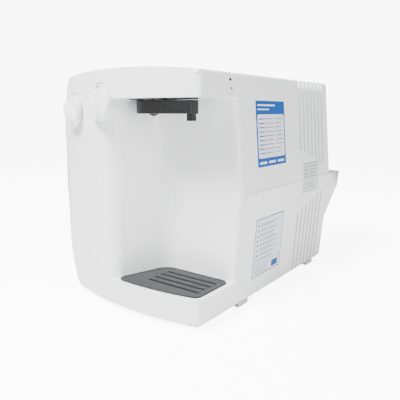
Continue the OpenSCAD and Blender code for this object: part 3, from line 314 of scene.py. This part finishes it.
def put(name, bm, mat, body="housing", replaces=(), smooth=35):
    """Turns a bmesh into a finished piece that rides on a body; smooth=0 leaves it flat."""
    mesh = bpy.data.meshes.new(name)
    bmesh.ops.triangulate(bm, faces=[f for f in bm.faces if len(f.verts) > 4])
    bm.to_mesh(mesh)
    bm.free()
    mesh.polygons.foreach_set("use_smooth", [smooth > 0] * len(mesh.polygons))
    if smooth:
        mesh.set_sharp_from_angle(angle=math.radians(smooth))
    return place(name, mesh, mat, body, replaces, smooth > 0)


def place(name, mesh, mat, body="housing", replaces=(), even=True):
    obj = bpy.data.objects.new(name, mesh)
    bpy.context.scene.collection.objects.link(obj)
    mesh.materials.clear()
    mesh.materials.append(mat)
    if even:
        mod = obj.modifiers.new("even_normals", "WEIGHTED_NORMAL")
        mod.keep_sharp = True
    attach(obj, body)
    if replaces:
        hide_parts(*replaces)
    return obj


def sharp_edges(bm, angle, shortest=0.0):
    return [e for e in bm.edges if len(e.link_faces) == 2 and e.calc_length() > shortest
            and e.calc_face_angle() > math.radians(angle)]


def round_edges(bm, edges, width, segments=2):
    """Rounds edges whose neighbours are long enough to take it, and leaves the rest sharp."""
    roomy = []
    for e in edges:
        around = [o for v in e.verts for o in v.link_edges if o is not e]
        if e.calc_length() > width * 0.4 and all(o.calc_length() > width * 1.1 for o in around):
            roomy.append(e)
    if not roomy:
        return 0
    bmesh.ops.bevel(bm, geom=roomy, offset=width, offset_type="OFFSET", segments=segments,
                    profile=0.5, affect="EDGES", clamp_overlap=False, material=-1, loop_slide=True)
    return len(roomy)


def soft_copy(name, width, angle=32, segments=2):
    """A copy of a frame node with rounded edges, or with plain ones if rounding would open it."""
    bm = merged_copy(name)
    rounded = bm.copy()
    round_edges(rounded, sharp_edges(rounded, angle), width, segments)
    bmesh.ops.dissolve_degenerate(rounded, edges=rounded.edges, dist=1e-6)
    return if_closed(rounded, bm)


def lathe(profile, matrix, steps=72):
    """A closed turned shape from (radius, height) points that start and end on the axis."""
    bm = bmesh.new()
    rings = []
    for r, h in profile:
        if r < 1e-9:
            rings.append([bm.verts.new(matrix @ Vector((0, 0, h)))])
        else:
            rings.append([bm.verts.new(matrix @ Vector((r * math.cos(a), r * math.sin(a), h)))
                          for a in (2 * math.pi * k / steps for k in range(steps))])
    for low, high in zip(rings, rings[1:]):
        for k in range(steps):
            n = (k + 1) % steps
            ring = [low[k % len(low)], low[n % len(low)], high[n % len(high)], high[k % len(high)]]
            ring = [v for i, v in enumerate(ring) if v not in ring[:i]]
            bm.faces.new(ring)
    bmesh.ops.recalc_face_normals(bm, faces=bm.faces)
    return bm


def corner(cx, cy, r, a0, a1, n=5):
    """Points of a rounded corner, angles in degrees."""
    return [(cx + r * math.cos(math.radians(a0 + (a1 - a0) * k / n)),
             cy + r * math.sin(math.radians(a0 + (a1 - a0) * k / n))) for k in range(n + 1)]


def prism(bm, points, low, high, at, colour=None, layer=None):
    """A closed plate with the outline points, between two heights, placed by at(u, v, height)."""
    a = [bm.verts.new(at(u, v, low)) for u, v in points]
    b = [bm.verts.new(at(u, v, high)) for u, v in points]
    faces = [bm.faces.new(list(reversed(a))), bm.faces.new(b)]
    for k in range(len(points)):
        n = (k + 1) % len(points)
        faces.append(bm.faces.new([a[k], a[n], b[n], b[k]]))
    if layer:
        for f in faces:
            for loop in f.loops:
                loop[layer] = (*colour, 1)


def rounded_rect(u0, v0, u1, v1, r, n=4):
    return (corner(u1 - r, v0 + r, r, -90, 0, n) + corner(u1 - r, v1 - r, r, 0, 90, n)
            + corner(u0 + r, v1 - r, r, 90, 180, n) + corner(u0 + r, v0 + r, r, 180, 270, n))


def swell(z):
    for (z0, s0), (z1, s1) in zip(SWELL, SWELL[1:]):
        if z <= z1:
            return s0 + (s1 - s0) * (z - z0) / (z1 - z0)
    return 0.0


def front_at(x, z):
    """The turned frame of a point on the bowed front: its z axis stands out from the surface."""
    r = BOW_R + swell(z)
    a = math.asin((x - BOW_X) / r)
    y = BOW_Y - math.sqrt(r * r - (x - BOW_X) ** 2)
    lean = math.atan((swell(z) - swell(z + 0.001)) / 0.001)
    return (Matrix.Translation((x, y, z)) @ Matrix.Rotation(a, 4, "Z")
            @ Matrix.Rotation(math.pi / 2 - lean, 4, "X"))


def on_side(y, z, lift):
    """A point on the right side, y behind the front corner, lifted off a label's face."""
    up = 1 if z > SEAM_Z else -1
    x = SIDE_X - abs(z - SEAM_Z) * math.tan(SIDE_LEAN)
    out = LABEL_T + lift
    return Vector((x + out * math.cos(SIDE_LEAN), y - MID_Y, z + up * out * math.sin(SIDE_LEAN)))


# ---------------------------------------------------------------- repeats
def repeat_group():
    """Copies of one piece on points, each turned and sized by the points' own values."""
    old = bpy.data.node_groups.get("repeat_on_points")
    if old:
        return old
    g = bpy.data.node_groups.new("repeat_on_points", "GeometryNodeTree")
    face = g.interface
    face.new_socket(name="Points", in_out="INPUT", socket_type="NodeSocketGeometry")
    face.new_socket(name="Piece", in_out="INPUT", socket_type="NodeSocketObject")
    face.new_socket(name="Finish", in_out="INPUT", socket_type="NodeSocketMaterial")
    face.new_socket(name="Geometry", in_out="OUTPUT", socket_type="NodeSocketGeometry")
    n, l = g.nodes, g.links
    gin, gout = n.new("NodeGroupInput"), n.new("NodeGroupOutput")
    info = n.new("GeometryNodeObjectInfo")
    l.new(gin.outputs["Piece"], info.inputs["Object"])
    values = {}
    for name in ("turn", "size"):
        values[name] = n.new("GeometryNodeInputNamedAttribute")
        values[name].data_type = "FLOAT_VECTOR"
        values[name].inputs["Name"].default_value = name
    turn = n.new("FunctionNodeEulerToRotation")
    l.new(values["turn"].outputs["Attribute"], turn.inputs[0])
    copies = n.new("GeometryNodeInstanceOnPoints")
    l.new(gin.outputs["Points"], copies.inputs["Points"])
    l.new(info.outputs["Geometry"], copies.inputs["Instance"])
    l.new(turn.outputs[0], copies.inputs["Rotation"])
    l.new(values["size"].outputs["Attribute"], copies.inputs["Scale"])
    real = n.new("GeometryNodeRealizeInstances")
    l.new(copies.outputs[0], real.inputs[0])
    paint = n.new("GeometryNodeSetMaterial")
    l.new(real.outputs[0], paint.inputs["Geometry"])
    l.new(gin.outputs["Finish"], paint.inputs["Material"])
    l.new(paint.outputs[0], gout.inputs[0])
    return g


def repeated(name, seed, spots, mat):
    """A plain mesh of a seed mesh repeated at spots of (matrix, size)."""
    piece = bpy.data.objects.new(name + "_seed", seed)
    mesh = bpy.data.meshes.new(name + "_points")
    mesh.from_pydata([m.translation for m, _ in spots], [], [])
    for key, values in (("turn", [m.to_euler() for m, _ in spots]), ("size", [s for _, s in spots])):
        attr = mesh.attributes.new(key, "FLOAT_VECTOR", "POINT")
        attr.data.foreach_set("vector", [c for v in values for c in v])
    base = bpy.data.objects.new(name + "_base", mesh)
    for o in (piece, base):
        bpy.context.scene.collection.objects.link(o)
    group = repeat_group()
    mod = base.modifiers.new("repeat", "NODES")
    mod.node_group = group
    ids = {item.name: item.identifier for item in group.interface.items_tree if item.in_out == "INPUT"}
    mod[ids["Piece"]] = piece
    mod[ids["Finish"]] = mat
    bpy.context.view_layer.update()
    baked = bpy.data.meshes.new_from_object(base.evaluated_get(bpy.context.evaluated_depsgraph_get()))
    base.modifiers.remove(mod)
    bpy.data.objects.remove(base)
    bpy.data.objects.remove(piece)
    baked.name = name
    if not baked.polygons:
        raise RuntimeError(name + " came out empty")
    return baked


def disc_seed(steps=20):
    """A flat round button of unit radius and unit height with a softened rim."""
    bm = lathe([(0, -0.2), (1, -0.2), (1, 0.6), (0.9, 0.9), (0.75, 1), (0, 1)], Matrix.Identity(4), steps)
    mesh = bpy.data.meshes.new("disc_seed")
    bm.to_mesh(mesh)
    bm.free()
    return mesh


def bar_seed():
    """A flat bar one unit long, wide and high, with round ends."""
    bm = bmesh.new()
    prism(bm, rounded_rect(-0.5, -0.5, 0.5, 0.5, 0.2), -0.2, 1.0, lambda u, v, h: Vector((u, v, h)))
    mesh = bpy.data.meshes.new("bar_seed")
    bm.to_mesh(mesh)
    bm.free()
    return mesh


# ---------------------------------------------------------------- settings
class DispenserFinish(bpy.types.PropertyGroup):
    shell: bpy.props.FloatVectorProperty(
        name="Shell colour", description="Colour of the white mouldings", subtype="COLOR",
        size=3, min=0, max=1, default=(0.86, 0.87, 0.88))
    knob: bpy.props.FloatVectorProperty(
        name="Knob colour", description="Colour of the two knobs", subtype="COLOR",
        size=3, min=0, max=1, default=(0.86, 0.87, 0.89))
    tray: bpy.props.FloatVectorProperty(
        name="Tray colour", description="Colour of the drip tray and its grille", subtype="COLOR",
        size=3, min=0, max=1, default=(0.040, 0.041, 0.042))
    spout: bpy.props.FloatVectorProperty(
        name="Spout colour", description="Colour of the spout and its plate", subtype="COLOR",
        size=3, min=0, max=1, default=(0.020, 0.0203, 0.021))


class DispenserEdges(bpy.types.PropertyGroup):
    shell: bpy.props.FloatProperty(
        name="Shell edges", description="Rounding of the mouldings' small edges",
        default=0.0006, min=0.0, max=0.002, unit="LENGTH")
    corner: bpy.props.FloatProperty(
        name="Front corner", description="Rounding of the front right corner",
        default=0.005, min=0.0, max=0.01, unit="LENGTH")
    part: bpy.props.FloatProperty(
        name="Part edges", description="Rounding of the spout's and tray's edges",
        default=0.0007, min=0.0, max=0.002, unit="LENGTH")


class DispenserMarks(bpy.types.PropertyGroup):
    dots: bpy.props.IntProperty(
        name="Scale dots", description="Number of dots round the temperature knob",
        default=9, min=3, max=16)
    ink: bpy.props.FloatVectorProperty(
        name="Ink colour", description="Colour of the marks on the front", subtype="COLOR",
        size=3, min=0, max=1, default=(0.012, 0.013, 0.016))
    height: bpy.props.FloatProperty(
        name="Ink height", description="How far the printed marks stand out",
        default=0.00012, min=0.00002, max=0.0005, unit="LENGTH")


# ---------------------------------------------------------------- pieces
def front_corner(e):
    """Is an edge part of the front right corner, under the tray or beside the visor?"""
    return all(v.co.x > END_X - MM and v.co.y < front_y(CORNER_DEPTH)
               and (v.co.z < BASE_TOP or v.co.z > VISOR_LOW) for v in e.verts)


class DISPENSER_OT_shells(bpy.types.Operator):
    """Builds the white mouldings with rounded edges and a soft front corner"""
    bl_idname = "dispenser.shells"
    bl_label = "Housing mouldings"

    def execute(self, context):
        edges = context.scene.dispenser_edges
        look = finishes()
        for name in ("base_front", "lower_housing", "upper_housing", "front_visor", "niche_lining"):
            bm = merged_copy(name)
            if name in ("base_front", "front_visor"):
                bm = self.soft_corner(bm, edges.corner)
            if name != "niche_lining":
                rounded = bm.copy()
                open_edges = [e for e in sharp_edges(rounded, 32) if not self.hidden_joint(e)]
                round_edges(rounded, open_edges, edges.shell)
                bmesh.ops.dissolve_degenerate(rounded, edges=rounded.edges, dist=1e-6)
                bm = if_closed(rounded, bm)
            slot = "niche_white" if name == "niche_lining" else "white_shell"
            put(name + "_moulding", bm, look[slot], replaces=(name,))
        return {"FINISHED"}

    @staticmethod
    def soft_corner(bm, width):
        """Rounds the upright edges of the front right corner, where the moulding stays closed."""
        chain = [e for e in sharp_edges(bm, 30) if front_corner(e)
                 and abs(e.verts[0].co.z - e.verts[1].co.z) > 0.3 * e.calc_length()]
        trial = bm.copy()
        trial.edges.ensure_lookup_table()
        picks = [trial.edges[e.index] for e in chain]
        if picks:
            bmesh.ops.bevel(trial, geom=picks, offset=width, offset_type="OFFSET", segments=6,
                            profile=0.5, affect="EDGES", clamp_overlap=False, material=-1)
        return if_closed(trial, bm)

    @staticmethod
    def hidden_joint(e):
        """The joint behind the niche, where base and housing meet like one moulding."""
        return all(abs(v.co.y - front_y(NICHE_BACK)) < 0.0004 for v in e.verts)


class DISPENSER_OT_knobs(bpy.types.Operator):
    """Builds the two knobs with their rounded rims and crescent grips"""
    bl_idname = "dispenser.knobs"
    bl_label = "Knobs"

    def execute(self, context):
        mat = finishes()["knob_white"]
        for name, (x, z, turn) in KNOBS.items():
            m = front_at(x, z)
            r, f = KNOB_R, KNOB_FACE
            bm = lathe([(0, KNOB_GAP + 0.0004), (r * 0.25, KNOB_GAP + 0.0004), (r - 0.0006, KNOB_GAP),
                        (r - 0.0001, KNOB_GAP + 0.0004), (r, KNOB_GAP + 0.0014), (r - 0.0003, f - 0.0022),
                        (r - 0.0009, f - 0.0009), (r - 0.0020, f - 0.0002), (r - 0.0034, f),
                        (r * 0.5, f - 0.0003), (0, f - 0.0004)], m, 96)
            put(name + "_rim", bm, mat, name + "_body", (name,), smooth=60)
            put(name + "_grip", self.grip(m @ Matrix.Rotation(math.radians(turn), 4, "Z")), mat,
                name + "_body", smooth=70)
        return {"FINISHED"}

    @staticmethod
    def grip(m):
        """A crescent bar across the knob's face."""
        bm = bmesh.new()
        half, arc_r = KNOB_R - 0.0026, (KNOB_R ** 2 + GRIP_H ** 2) / (2 * GRIP_H)
        rings = []
        for i in range(33):
            u = math.sin(math.pi * (i / 32 - 0.5)) * 0.999
            top = math.sqrt(arc_r ** 2 - (u * half) ** 2) - (arc_r - GRIP_H)
            top *= (1 - abs(u) ** 10) ** 0.5
            wide = GRIP_W / 2 * (1 - 0.25 * u * u) * (1 - abs(u) ** 12) ** 0.5
            ring = []
            for k in range(17):
                t = math.pi * k / 16
                c, s = math.cos(t), math.sin(t)
                ring.append(bm.verts.new(m @ Vector((math.copysign(abs(c) ** 0.55, c) * wide, u * half,
                                                     KNOB_FACE - 0.0008 + (top + 0.0008) * s ** 0.5))))
            rings.append(ring)
        for a, b in zip(rings, rings[1:]):
            for k in range(16):
                bm.faces.new([a[k], b[k], b[k + 1], a[k + 1]])
            bm.faces.new([a[16], b[16], b[0], a[0]])
        bm.faces.new(list(reversed(rings[0])))
        bm.faces.new(rings[-1])
        bmesh.ops.recalc_face_normals(bm, faces=bm.faces)
        return bm


class DISPENSER_OT_spout(bpy.types.Operator):
    """Builds the spout's plate, arm, nozzle and cap with softened edges"""
    bl_idname = "dispenser.spout"
    bl_label = "Spout"

    def execute(self, context):
        width = context.scene.dispenser_edges.part
        mat = finishes()["spout_dark"]
        for name, body in (("spout_plate", "housing"), ("spout_arm", "spout"), ("spout_nozzle", "spout")):
            put(name + "_finished", soft_copy(name, width), mat, body, (name,))
        cap = lathe([(0, 0), (0.0009, 0.0001), (0.0018, 0.0006), (0.0040, 0.0016), (0.0054, 0.0022),
                     (0.0059, 0.0026), (0.0060, 0.0030), (0, 0.0030)],
                    Matrix.Translation((PIVOT_X, PIVOT_Y, CAP_Z)), 48)
        put("spout_pivot_cap_finished", cap, mat, "housing", ("spout_pivot_cap",), smooth=50)
        return {"FINISHED"}


class DISPENSER_OT_tray(bpy.types.Operator):
    """Builds the drip tray and its slotted grille with softened edges"""
    bl_idname = "dispenser.tray"
    bl_label = "Drip tray and grille"

    def execute(self, context):
        width = context.scene.dispenser_edges.part
        mat = finishes()["tray_grey"]
        for name, body, share in (("drip_tray", "tray", 0.6), ("drip_grille", "grille", 0.3)):
            put(name + "_finished", soft_copy(name, width * share), mat, body, (name,))
        return {"FINISHED"}


class DISPENSER_OT_fittings(bpy.types.Operator):
    """Builds the feet, the pin and the rear fittings with softened edges"""
    bl_idname = "dispenser.fittings"
    bl_label = "Feet and rear fittings"

    def execute(self, context):
        look = finishes()
        for name, slot, width in (("feet", "foot_grey", 0.0008), ("inlet_fitting", "inner_plastic", 0.0005),
                                  ("cord_gland", "seal_rubber", 0.0004), ("visor_pin", "steel", 0.0003),
                                  ("case_screws", "steel", 0.0003), ("fan_frame", "fan_black", 0.0005),
                                  ("fan_rotor", "fan_black", 0.0003)):
            body = "fan" if name == "fan_rotor" else "housing"
            put(name + "_finished", soft_copy(name, width), look[slot], body, (name,))
        return {"FINISHED"}


class DISPENSER_OT_marks(bpy.types.Operator):
    """Prints the dotted scale and the knob marks on the front, and the latch mark on the side"""
    bl_idname = "dispenser.marks"
    bl_label = "Front and latch marks"

    def execute(self, context):
        marks = context.scene.dispenser_marks
        ink = finish("front_ink", tuple(marks.ink), 0.6, tone=0.1, grain=0.05, shine=0.1)
        x, z = (a + b for a, b in zip(KNOBS["temperature_knob"], SCALE_SHIFT))
        r = KNOB_R + SCALE_GAP
        spots = []
        for k in range(marks.dots):
            share = k / (marks.dots - 1)
            a = math.radians(SCALE_START + SCALE_SPAN * share)
            size = DOT_LARGE - (DOT_LARGE - DOT_SMALL) * share
            spots.append((front_at(x + r * math.cos(a), z + r * math.sin(a)), (size, size, marks.height)))
        mesh = repeated("scale_dots", disc_seed(), spots, ink)
        place("scale_dots", mesh, ink)
        pale = finish("pale_ink", (0.11, 0.12, 0.14), 0.6, tone=0.1, grain=0.05, shine=0.1)
        bars = []
        for x, z in ((-0.0900, 0.2735), (-0.0290, 0.2830)):
            for dx, dz, w, h in ((-0.0052, 0.0, 0.0050, 0.0011), (0.0012, 0.0006, 0.0036, 0.0011),
                                 (0.0056, 0.0, 0.0028, 0.0014), (-0.0050, -0.0036, 0.0026, 0.0010)):
                bars.append((front_at(x + dx, z + dz), (w, h, marks.height)))
        place("knob_marks", repeated("knob_marks", bar_seed(), bars, pale), pale)
        bm = bmesh.new()
        prism(bm, rounded_rect(0.0545, 0.2845, 0.0595, 0.2872, 0.0008), -0.0008, 0.00005 - LABEL_T, on_side)
        put("latch_mark", bm, ink)
        return {"FINISHED"}


class DISPENSER_OT_labels(bpy.types.Operator):
    """Prints generic panels, rows and marks on the labels of the right side"""
    bl_idname = "dispenser.labels"
    bl_label = "Label prints"

    def execute(self, context):
        look = finishes()
        for node, slot in (("upper_label", "label_blue"), ("lower_label", "label_white"),
                           ("rating_label", "label_grey")):
            paint_node(node, look[slot])
        self.mat = finish("label_ink", (0.98, 0.98, 0.98), 0.5, tone=0.02, grain=0.02, paint="ink", shine=0.1)
        self.upper()
        self.lower()
        self.rating()
        return {"FINISHED"}

    def start(self):
        self.bm = bmesh.new()
        self.layer = self.bm.loops.layers.float_color.new("ink")

    def plate(self, u0, v0, u1, v1, colour, level=1, r=0.0):
        """A printed patch in millimetres: u behind the front corner, v up."""
        points = rounded_rect(u0, v0, u1, v1, r) if r else [(u0, v0), (u1, v0), (u1, v1), (u0, v1)]
        prism(self.bm, [(u * MM, v * MM) for u, v in points], -0.0001, 0.00003 * level, on_side,
              colour, self.layer)

    def upper(self):
        self.start()
        u0, v0, u1, v1 = PRINT_AREA["upper_label"]
        self.plate(u0 + 3, v0 + 11, u1 - 3, v1 - 17, PAPER, 1, 3)
        self.plate(u0 + 4, v1 - 6.5, u0 + 50, v1 - 4.5, PAPER)
        self.plate(u0 + 4, v1 - 11.5, u0 + 34, v1 - 10, PAPER)
        for k in range(9):
            v = v1 - 22 - k * 5.4
            self.plate(u0 + 6, v - 1.4, u0 + 20, v, BLUE, 2)
            self.plate(u0 + 23, v - 1.0, u0 + 42 + (k * 7) % 5, v, GREY, 2)
            self.plate(u0 + 51, v - 1.0, u1 - 7 - (k * 5) % 6, v, GREY, 2)
        self.plate(u0 + 21.2, v0 + 13, u0 + 21.6, v1 - 19, GREY, 2)
        self.plate(u0 + 49, v0 + 13, u0 + 49.4, v1 - 19, GREY, 2)
        for k in range(3):
            self.plate(u0 + 5 + k * 24, v0 + 3.5, u0 + 23 + k * 24, v0 + 6.5, PAPER)
        put("upper_label_print", self.bm, self.mat)

    def lower(self):
        self.start()
        u0, v0, u1, v1 = PRINT_AREA["lower_label"]
        t = 1.1
        for a in ((u0, v0, u1, v0 + t), (u0, v1 - t, u1, v1), (u0, v0, u0 + t, v1), (u1 - t, v0, u1, v1),
                  (u0, v0 + 18, u1, v0 + 18.6)):
            self.plate(*a, VIOLET, 2)
        for k in range(8):
            v = v1 - 8 - k * 6.8
            self.plate(u0 + 6, v - 3.2, u0 + 9.2, v, VIOLET, 2, 1.5)
            self.plate(u0 + 13, v - 0.9, u0 + 60 - (k * 13) % 17, v - 0.1, GREY, 2)
            self.plate(u0 + 13, v - 3.1, u0 + 48 + (k * 11) % 19, v - 2.3, GREY, 2)
        for k in range(4):
            self.plate(u0 + 6, v0 + 3.4 + k * 3.4, u0 + 44 - (k * 9) % 13, v0 + 4.2 + k * 3.4, GREY, 2)
        self.plate(u0 + 52, v0 + 4, u1 - 7, v0 + 13.5, BLUE, 2, 1)
        put("lower_label_print", self.bm, self.mat)

    def rating(self):
        self.start()
        u0, v0, u1, v1 = PRINT_AREA["rating_label"]
        t = 0.7
        for low, high in ((v0, SEAM_Z / MM - 0.3), (SEAM_Z / MM + 1.1, v1)):
            self.plate(u0, low, u0 + t, high, GREY)
            self.plate(u1 - t, low, u1, high, GREY)
        self.plate(u0, v0, u1, v0 + t, GREY)
        self.plate(u0, v1 - t, u1, v1, GREY)
        for k in range(7):
            v = v1 - 5 - k * 5.2
            if abs(v - SEAM_Z / MM) > 2:
                self.plate(u0 + 5, v - 0.9, u0 + 17, v, GREY)
                self.plate(u0 + 22, v - 0.9, u1 - 6 - (k * 7) % 9, v, GREY)
        put("rating_label_print", self.bm, self.mat)


class DISPENSER_OT_inside(bpy.types.Operator):
    """Gives the cooling, filtering and electric parts inside their finishes"""
    bl_idname = "dispenser.inside"
    bl_label = "Parts inside"

    def execute(self, context):
        look = finishes()
        for slot, names in (
                ("brass_pivot", ("spout_pivot",)), ("seal_rubber", ("spout_seals", "valve_seals")),
                ("inner_plastic", ("flow_spindle", "temperature_spindle", "flow_valve", "temperature_valve",
                                   "tank_lid", "filter_cartridge")),
                ("steel", ("valve_nuts", "cold_tank", "tank_stand", "fan_screws", "power_supply")),
                ("foam", ("insulation_left", "insulation_right")),
                ("cooler_alloy", ("cold_block", "heat_sink")),
                ("ceramic", ("thermoelectric_module",)), ("filter_blue", ("filter_head",)),
                ("tube_clear", ("supply_tube", "filtered_tube", "cold_tube", "mixed_tube", "outlet_tube")),
                ("board_green", ("control_board",))):
            for name in names:
                paint_node(name, look[slot])
        return {"FINISHED"}


class DISPENSER_OT_stage(bpy.types.Operator):
    """Sets up the pale floor, the soft lights and the camera"""
    bl_idname = "dispenser.stage"
    bl_label = "Stage"

    def execute(self, context):
        scene = context.scene
        mesh = bpy.data.meshes.new("floor")
        s = 6.0
        mesh.from_pydata([(-s, -s, 0), (s, -s, 0), (s, s, 0), (-s, s, 0)], [], [(0, 1, 2, 3)])
        floor = bpy.data.objects.new("floor", mesh)
        scene.collection.objects.link(floor)
        pale = finish("pale_floor", (0.9, 0.9, 0.9), 0.8, tone=0.004, grain=0.0, smudge=0.02)
        tree, bsdf = nodes_of(pale)
        seen = tree.nodes.new("ShaderNodeLightPath")
        glow = tree.nodes.new("ShaderNodeMapRange")
        glow.inputs["To Max"].default_value = FLOOR_GLOW
        tree.links.new(seen.outputs["Is Camera Ray"], glow.inputs["Value"])
        tree.links.new(glow.outputs[0], bsdf.inputs["Emission Strength"])
        bsdf.inputs["Emission Color"].default_value = (1, 1, 1, 1)
        mesh.materials.append(pale)
        world = bpy.data.worlds.new("studio")
        world.use_nodes = True
        sky = world.node_tree
        back = sky.nodes["Background"]
        back.inputs[0].default_value = (1, 1, 1, 1)
        ray = sky.nodes.new("ShaderNodeLightPath")
        level = sky.nodes.new("ShaderNodeMapRange")
        level.inputs["To Min"].default_value = SKY_LIGHT
        level.inputs["To Max"].default_value = SKY_GLOW
        sky.links.new(ray.outputs["Is Camera Ray"], level.inputs["Value"])
        sky.links.new(level.outputs[0], back.inputs[1])
        scene.world = world
        for name, place_at, power, size in LAMPS:
            data = bpy.data.lights.new(name, "AREA")
            data.energy, data.size = power, size
            lamp = bpy.data.objects.new(name, data)
            scene.collection.objects.link(lamp)
            lamp.location = place_at
            aim = Vector(LAMP_AIM) - Vector(place_at)
            lamp.rotation_euler = aim.to_track_quat("-Z", "Y").to_euler()
        cam_data = bpy.data.cameras.new("camera")
        cam = bpy.data.objects.new("camera", cam_data)
        scene.collection.objects.link(cam)
        yaw, pitch = math.radians(CAMERA_YAW), math.radians(CAMERA_PITCH)
        cam.location = CAMERA_AT
        look = Vector((-math.sin(yaw) * math.cos(pitch), math.cos(yaw) * math.cos(pitch), -math.sin(pitch)))
        cam.rotation_mode = "QUATERNION"
        cam.rotation_quaternion = look.to_track_quat("-Z", "Y")
        cam_data.sensor_width = SENSOR
        cam_data.lens = LENS
        cam_data.shift_x, cam_data.shift_y = LENS_SHIFT
        cam_data.clip_start, cam_data.clip_end = 0.01, 20
        scene.camera = cam
        return {"FINISHED"}


STEPS = ("shells", "knobs", "spout", "tray", "fittings", "marks", "labels", "inside", "stage")


class DISPENSER_PT_panel(bpy.types.Panel):
    """Settings and build steps of the dispenser"""
    bl_idname = "DISPENSER_PT_panel"
    bl_label = "Dispenser"
    bl_space_type = "VIEW_3D"
    bl_region_type = "UI"
    bl_category = "Dispenser"

    def draw(self, context):
        for key, group in GROUPS.items():
            box = self.layout.box()
            box.label(text=group.bl_rna.name)
            for name in group.__annotations__:
                box.prop(getattr(context.scene, key), name)
        for step in STEPS:
            self.layout.operator("dispenser." + step)


GROUPS = {"dispenser_finish": DispenserFinish, "dispenser_edges": DispenserEdges,
          "dispenser_marks": DispenserMarks}
CLASSES = (*GROUPS.values(), DISPENSER_OT_shells, DISPENSER_OT_knobs, DISPENSER_OT_spout, DISPENSER_OT_tray,
           DISPENSER_OT_fittings, DISPENSER_OT_marks, DISPENSER_OT_labels, DISPENSER_OT_inside,
           DISPENSER_OT_stage, DISPENSER_PT_panel)


def register():
    for c in CLASSES:
        bpy.utils.register_class(c)
    for key, group in GROUPS.items():
        setattr(bpy.types.Scene, key, bpy.props.PointerProperty(type=group))


def unregister():
    for key in GROUPS:
        delattr(bpy.types.Scene, key)
    for c in reversed(CLASSES):
        bpy.utils.unregister_class(c)


def main():
    register()
    for step in STEPS:
        getattr(bpy.ops.dispenser, step)()


if __name__ == "__main__":
    main()
